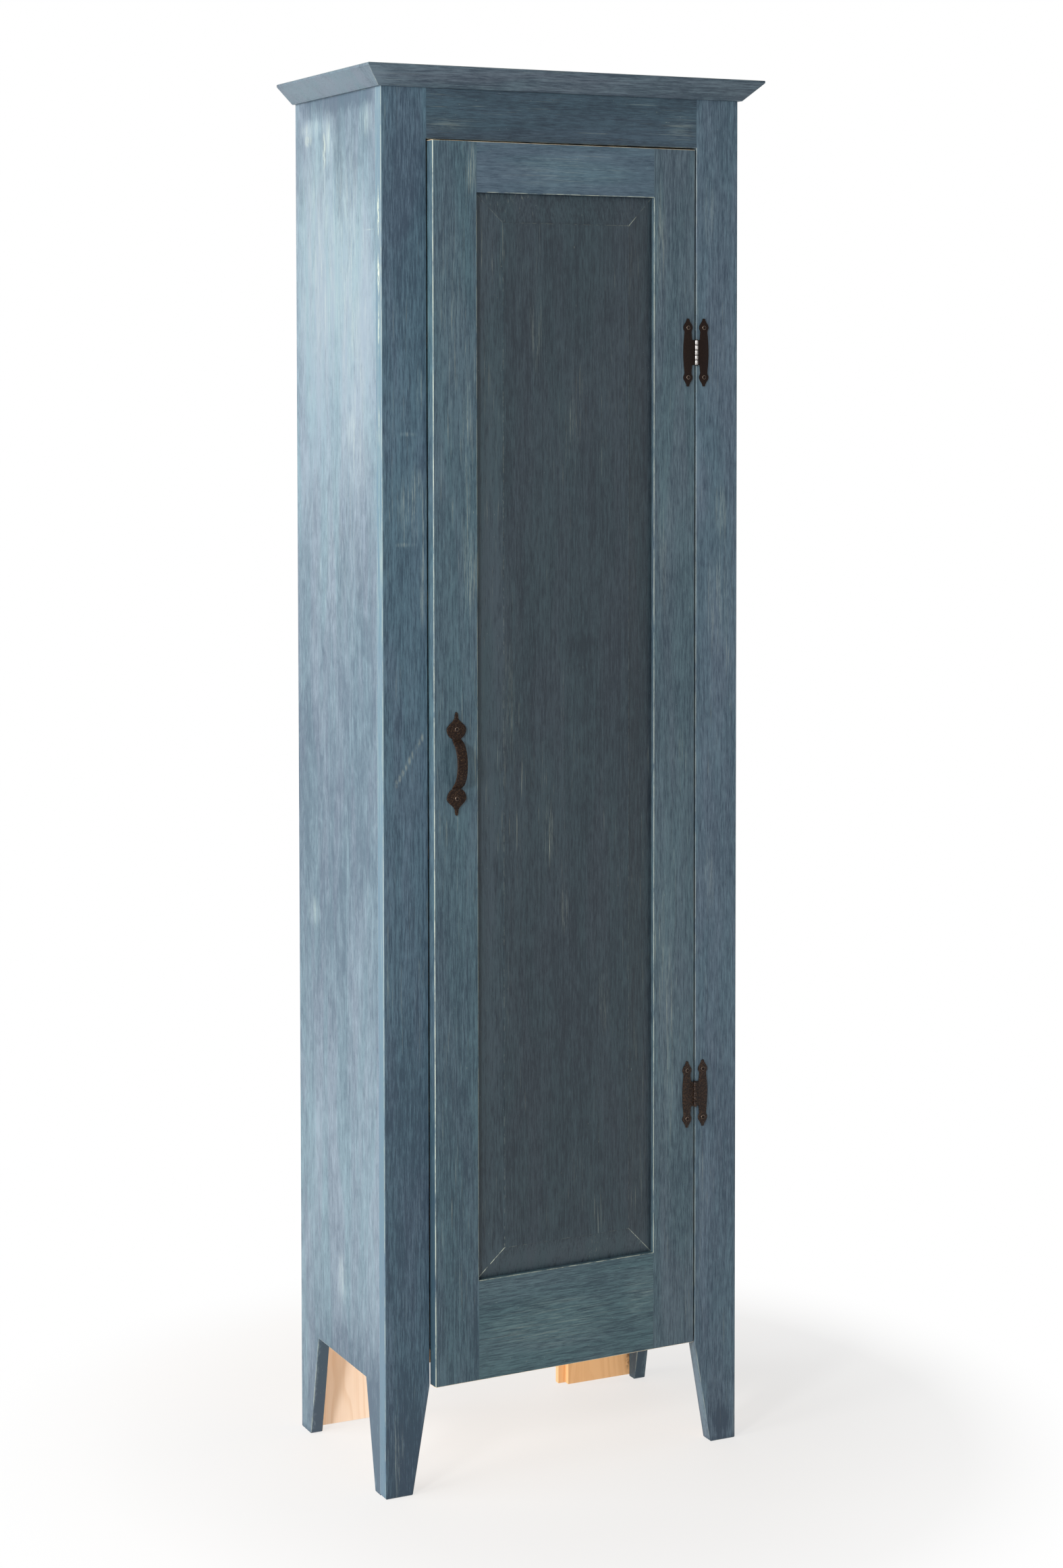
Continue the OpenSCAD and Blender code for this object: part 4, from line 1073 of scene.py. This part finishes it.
def hinge_leaf(node, materials):
    """A hinge leaf with rounded rims; its knuckles take the second material where there is one."""
    def on_rim(edge):
        if not (on_plane(edge, 1, FACE_Y - LEAF_T) and turns_over(edge, 60)):
            return False
        offs = [abs(vertex.co.x - PIN.x) for vertex in edge.verts]
        at_hole = any(off < LEAF_REACH and on_screw_rim(node, vertex.co)
                      for off, vertex in zip(offs, edge.verts))
        return min(offs) > 3.0 * MM and edge.calc_length() > 0.9 * MM and not at_hole

    mesh = merged_copy(node)
    ease(mesh, on_rim, bpy.context.scene.cabinet_shape.leaf_rim, 2)
    ease(mesh, is_knuckle_rim, 0.5 * MM, 2)
    # Bare steel on the left of the knuckles is worn paint and a painted highlight; the dark iron left on their
    # right is painted shade.
    if len(materials) > 1:
        rounded = mesh.faces.layers.float["arris"]
        for face in mesh.faces:
            off = face.calc_center_median() - PIN
            off.z = 0.0
            if off.length < KNUCKLE_R + 0.05 * MM and off.x < 1.3 * MM and not face[rounded]:
                face.material_index = 1
    finished(node + "_iron", mesh, [node], materials, math.radians(35))


def make_hinges():
    """Leaves, pins and screws of the two hinges."""
    deep = iron_material("hinge_iron_hammered", 1.0, 0.8 * MM, gloss=0.18)
    flat = iron_material("hinge_iron_smooth", 0.15, sparkle=0.0, gloss=0.10)
    steel = plain_material("knuckle_steel", (0.50, 0.475, 0.455), (0.26, 0.245, 0.235), 900.0, 0.34, 1.0,
                           (1, 1, 0.2))
    for place_name, materials in (("upper", [flat, steel]), ("lower", [deep])):
        for side in ("frame", "door"):
            hinge_leaf(f"{place_name}_hinge_{side}_leaf", materials)
        finish_as_is(place_name + "_hinge_pin", materials[0])
    heads = [iron_material("screw_iron", 0.3), rim_highlight_material("screw_rim")]
    screws("frame_hinge_screws", heads, (20, 65, 40, 5))
    screws("door_hinge_screws", heads, (50, 10, 75, 30))


def add_spade(mesh, centre, sign):
    """One spade end, flat against the stile, with its tip up or down."""
    verts = bmesh.ops.create_circle(mesh, segments=72, radius=SPADE_R, cap_ends=True)["verts"]
    face = verts[0].link_faces[0]
    taper = SPADE_TIP_L * 0.7
    for vertex in verts:
        height = vertex.co.y / SPADE_R * SPADE_TIP_L
        if height <= 0:
            continue
        if height < taper:
            wide = SPADE_TIP_R + (SPADE_R - SPADE_TIP_R) * (1 + math.cos(math.pi * height / taper)) / 2
        else:
            past = (height - taper) / (SPADE_TIP_L - taper)
            wide = math.sqrt(max(0.0, 1 - past ** 2)) * SPADE_TIP_R
        side = math.copysign(wide, vertex.co.x) if abs(vertex.co.x) > 1e-9 else 0.0
        vertex.co = Vector((side, height, 0.0))
    raised = bmesh.ops.extrude_face_region(mesh, geom=[face])["geom"]
    top = [item for item in raised if isinstance(item, bmesh.types.BMVert)]
    bmesh.ops.translate(mesh, verts=top, vec=(0, 0, SPADE_T))
    where = Matrix.Translation(centre) @ Matrix.Rotation(QUARTER, 4, "X") @ Matrix.Diagonal((1, sign, 1, 1))
    bmesh.ops.transform(mesh, matrix=where, verts=list(set(verts) | set(top)))


def bow_stations():
    """Middle line of the strap from one spade to the other: height, distance out and width."""
    line = [(35.5 * MM, 1.2 * MM, 12.6 * MM), (BOW_HALF + 2.2 * MM, 1.2 * MM, 12.4 * MM),
            (BOW_HALF - 0.4 * MM, 2.2 * MM, 12.4 * MM), (BOW_HALF - 2.0 * MM, 4.6 * MM, 12.8 * MM)]
    arc = []
    for i in range(23):
        angle = math.radians(22 + 136 * i / 22)
        arc.append(((BOW_HALF - BOW_T / 2) * math.cos(angle), (BOW_OUT - BOW_T / 2) * math.sin(angle),
                    14 * MM))
    return line + arc + [(-height, out, wide) for height, out, wide in reversed(line)]


def add_bow(mesh, centre):
    """The bowed strap, drawn out station by station from a flat end."""
    line = bow_stations()
    face = bmesh.ops.create_grid(mesh, x_segments=1, y_segments=1, size=0.5)["verts"][0].link_faces[0]
    corners = sorted(face.verts, key=lambda vertex: math.atan2(vertex.co.y, vertex.co.x))
    for index, (height, out, wide) in enumerate(line):
        before = line[max(index - 1, 0)]
        after = line[min(index + 1, len(line) - 1)]
        tilt = math.atan2(before[1] - after[1], before[0] - after[0])
        across = Vector((0.0, -math.cos(tilt), -math.sin(tilt)))
        if index:
            face = draw_out(mesh, face, closed=index == 1)
            corners = [min(face.verts, key=lambda vertex: (vertex.co - last.co).length) for last in corners]
        for vertex, (sx, sy) in zip(corners, ((-1, -1), (1, -1), (1, 1), (-1, 1))):
            vertex.co = centre + Vector((sx * wide / 2, -out, height)) + across * (sy * BOW_T / 2)


def make_pull():
    """The bowed pull and its screws."""
    iron = iron_material("pull_iron", 0.4, sparkle=0.9, gloss=0.12)
    heads = head_places("pull_screws")
    middle = (heads[0] + heads[1]) / 2
    middle.y = FACE_Y
    mesh = bmesh.new()
    mesh.faces.layers.float.new("arris")
    half_gap = abs(heads[0].z - heads[1].z) / 2
    for sign in (1, -1):
        add_spade(mesh, middle + Vector((0, 0, sign * half_gap)), sign)
    add_bow(mesh, middle)
    bmesh.ops.recalc_face_normals(mesh, faces=mesh.faces)
    ease(mesh, lambda edge: turns_over(edge, 55) and not on_plane(edge, 1, FACE_Y),
         bpy.context.scene.cabinet_shape.leaf_rim * 1.3)
    finished("pull_bowed", mesh, ["pull_handle"], [iron], math.radians(35))
    screws("pull_screws", [iron_material("pull_screw_iron", 0.3), rim_highlight_material("pull_screw_rim")], (25, 70))


def make_fixings():
    """Finishes of the cleat screws, nails and catch, which stay as the CAD has them."""
    for nodes, name, first, second, scale, rough, metallic, stretch in (
            (("cleat_screws", "top_screws", "catch_screws", "strike_screw"), "screw_steel",
             (0.62, 0.60, 0.56), (0.42, 0.41, 0.38), 700.0, 0.36, 1.0, (1, 1, 1)),
            (("back_nails",), "nail_steel",
             (0.36, 0.35, 0.34), (0.22, 0.20, 0.18), 900.0, 0.45, 1.0, (1, 1, 1)),
            (("catch_plates", "strike_plate"), "plate_steel",
             (0.70, 0.68, 0.64), (0.52, 0.50, 0.47), 500.0, 0.3, 1.0, (1, 1, 0.15)),
            (("catch_housing",), "catch_brown",
             (0.085, 0.048, 0.028), (0.065, 0.036, 0.022), 1400.0, 0.5, 0.0, (1, 1, 1)),
            (("catch_magnet",), "magnet_ferrite",
             (0.035, 0.035, 0.037), (0.020, 0.020, 0.021), 1800.0, 0.7, 0.0, (1, 1, 1))):
        material = plain_material(name, first, second, scale, rough, metallic, stretch)
        for node in nodes:
            finish_as_is(node, material)


# The stage

def seen_rays(tree):
    """1 for rays from the camera and for mirror and glass rays, 0 for the rest."""
    path = tree.nodes.new("ShaderNodeLightPath").outputs
    camera, glossy, clear = (Value(path[f"Is {kind} Ray"]) for kind in ("Camera", "Glossy", "Transmission"))
    return calc("MAXIMUM", calc("MAXIMUM", camera, glossy), clear)


def make_floor(look):
    """A pale floor that fades to plain white away from the cabinet."""
    mesh = bmesh.new()
    bmesh.ops.create_circle(mesh, cap_ends=True, segments=64, radius=30.0)
    bmesh.ops.translate(mesh, verts=mesh.verts, vec=(0, 0, -0.2 * MM))
    material, tree = new_material("pale_floor")
    where = place(tree, "ShaderNodeTexCoord", "Object")
    distance = calc("LENGTH", where)
    matt = place(tree, "ShaderNodeBsdfDiffuse", 0,
                 {"Color": tint(noise(where, 1.5, 2.0) * 0.2, look.floor, (0.86, 0.85, 0.84))})
    white = tint(fade(distance, 0.3, 0.8), (0.90, 0.89, 0.88), (1, 1, 1))
    lit = place(tree, "ShaderNodeEmission", 0, {"Color": white, "Strength": 1.0})
    glow = calc("MAXIMUM", fade(distance, 0.1, 0.8) * seen_rays(tree), look.glow)
    put_on(place(tree, "ShaderNodeMixShader", 0, {0: glow, 1: matt, 2: lit}))
    floor = add_mesh("floor", mesh, [material])


def make_room(look):
    """Even light from all round, and white to the camera."""
    world = bpy.data.worlds.new("white_room")
    bpy.context.scene.world = world
    world.use_nodes = True
    tree = world.node_tree
    tree.nodes.clear()
    even, white = (place(tree, "ShaderNodeBackground", 0, {"Color": (1, 1, 1), "Strength": strength})
                   for strength in (look.room, 1.0))
    put_on(place(tree, "ShaderNodeMixShader", 0, {0: seen_rays(tree), 1: even, 2: white}),
           "ShaderNodeOutputWorld")


def add_lamp(name, power, where, aim, size):
    """A large soft lamp at a place, turned to a point."""
    data = bpy.data.lights.new(name, "AREA")
    data.shape = "RECTANGLE"
    data.size, data.size_y = size
    data.energy = power
    lamp = add_object(name, data)
    lamp.location = where
    lamp.rotation_euler = (Vector(aim) - Vector(where)).to_track_quat("-Z", "Y").to_euler()


def make_camera(look):
    """The camera, where the photograph was taken from."""
    data = bpy.data.cameras.new("camera")
    data.lens = look.lens
    data.shift_y = -0.17
    data.clip_start, data.clip_end = 0.05, 100.0
    camera = add_object("camera", data)
    heading, pitch, roll = (math.radians(angle) for angle in (-25.572, 90 - 2.82, -0.07))
    turn = Matrix.Rotation(heading, 4, "Z") @ Matrix.Rotation(pitch, 4, "X") @ Matrix.Rotation(roll, 4, "Z")
    camera.location = (-1.6792, -3.5410, 1.4431)
    camera.rotation_euler = turn.to_euler()
    bpy.context.scene.camera = camera


# Operators

class CABINET_OT_sides(bpy.types.Operator):
    """Make the two side boards"""
    bl_idname = "cabinet.sides"
    bl_label = "Sides"

    def execute(self, context):
        make_sides()
        return {"FINISHED"}


class CABINET_OT_face_frame(bpy.types.Operator):
    """Make the face stiles and the rail above the door"""
    bl_idname = "cabinet.face_frame"
    bl_label = "Face frame"

    def execute(self, context):
        make_face_frame()
        return {"FINISHED"}


class CABINET_OT_top(bpy.types.Operator):
    """Make the bevelled top board"""
    bl_idname = "cabinet.top"
    bl_label = "Top board"

    def execute(self, context):
        make_top()
        return {"FINISHED"}


class CABINET_OT_door_frame(bpy.types.Operator):
    """Make the stiles and rails of the door"""
    bl_idname = "cabinet.door_frame"
    bl_label = "Door frame"

    def execute(self, context):
        make_door_frame()
        return {"FINISHED"}


class CABINET_OT_panel(bpy.types.Operator):
    """Make the raised panel"""
    bl_idname = "cabinet.panel"
    bl_label = "Raised panel"

    def execute(self, context):
        make_panel()
        return {"FINISHED"}


class CABINET_OT_inside(bpy.types.Operator):
    """Make the shelves, cleats and back boards"""
    bl_idname = "cabinet.inside"
    bl_label = "Shelves and back"

    def execute(self, context):
        make_inside()
        return {"FINISHED"}


class CABINET_OT_hinges(bpy.types.Operator):
    """Make the hinges and their screws"""
    bl_idname = "cabinet.hinges"
    bl_label = "Hinges"

    def execute(self, context):
        make_hinges()
        return {"FINISHED"}


class CABINET_OT_pull(bpy.types.Operator):
    """Make the bowed pull and its screws"""
    bl_idname = "cabinet.pull"
    bl_label = "Pull"

    def execute(self, context):
        make_pull()
        return {"FINISHED"}


class CABINET_OT_fixings(bpy.types.Operator):
    """Finish the screws, nails and catch"""
    bl_idname = "cabinet.fixings"
    bl_label = "Fixings and catch"

    def execute(self, context):
        make_fixings()
        return {"FINISHED"}


class CABINET_OT_stage(bpy.types.Operator):
    """Set up the floor, the lights and the camera"""
    bl_idname = "cabinet.stage"
    bl_label = "Stage"

    def execute(self, context):
        look = context.scene.cabinet_stage
        make_floor(look)
        make_room(look)
        add_lamp("side_lamp", look.side_lamp, (-3.2, 0.1, 2.3), (-0.25, 0.0, 1.3), (2.6, 2.4))
        add_lamp("front_lamp", look.front_lamp, (-3.0, -2.3, 2.1), (0.0, -0.1, 1.0), (0.6, 0.8))
        add_lamp("back_lamp", look.back_lamp, (0.8, 2.9, 1.6), (0.0, 0.1, 0.3), (2.4, 1.6))
        add_lamp("low_lamp", look.low_lamp, (-2.8, -0.5, 0.35), (0.0, 0.1, 0.08), (1.2, 0.5))
        make_camera(look)
        context.scene.view_settings.view_transform = "Standard"
        return {"FINISHED"}


class CABINET_PT_panel(bpy.types.Panel):
    """Lists the cabinet's pieces and its settings"""
    bl_idname = "CABINET_PT_panel"
    bl_label = "Chimney cabinet"
    bl_space_type = "VIEW_3D"
    bl_region_type = "UI"
    bl_category = "Cabinet"

    def draw(self, context):
        layout = self.layout
        for operator in OPERATORS:
            layout.operator(operator.bl_idname)
        for key, group in SETTINGS:
            box = layout.box()
            box.label(text=group.__doc__)
            for name in group.__annotations__:
                box.prop(getattr(context.scene, key), name)


OPERATORS = (CABINET_OT_sides, CABINET_OT_face_frame, CABINET_OT_top, CABINET_OT_door_frame,
             CABINET_OT_panel, CABINET_OT_inside, CABINET_OT_hinges, CABINET_OT_pull,
             CABINET_OT_fixings, CABINET_OT_stage)
SETTINGS = (("cabinet_stain", CabinetStain), ("cabinet_pine", CabinetPine),
            ("cabinet_iron", CabinetIron), ("cabinet_shape", CabinetShape), ("cabinet_stage", CabinetStage))


def register():
    for key, group in SETTINGS:
        bpy.utils.register_class(group)
        setattr(bpy.types.Scene, key, PointerProperty(type=group))
    for operator in OPERATORS:
        bpy.utils.register_class(operator)
    bpy.utils.register_class(CABINET_PT_panel)


def unregister():
    bpy.utils.unregister_class(CABINET_PT_panel)
    for operator in reversed(OPERATORS):
        bpy.utils.unregister_class(operator)
    for key, group in reversed(SETTINGS):
        delattr(bpy.types.Scene, key)
        bpy.utils.unregister_class(group)


def main():
    register()
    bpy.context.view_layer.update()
    for operator in OPERATORS:
        group, name = operator.bl_idname.split(".")
        getattr(getattr(bpy.ops, group), name)()


if __name__ == "__main__":
    main()
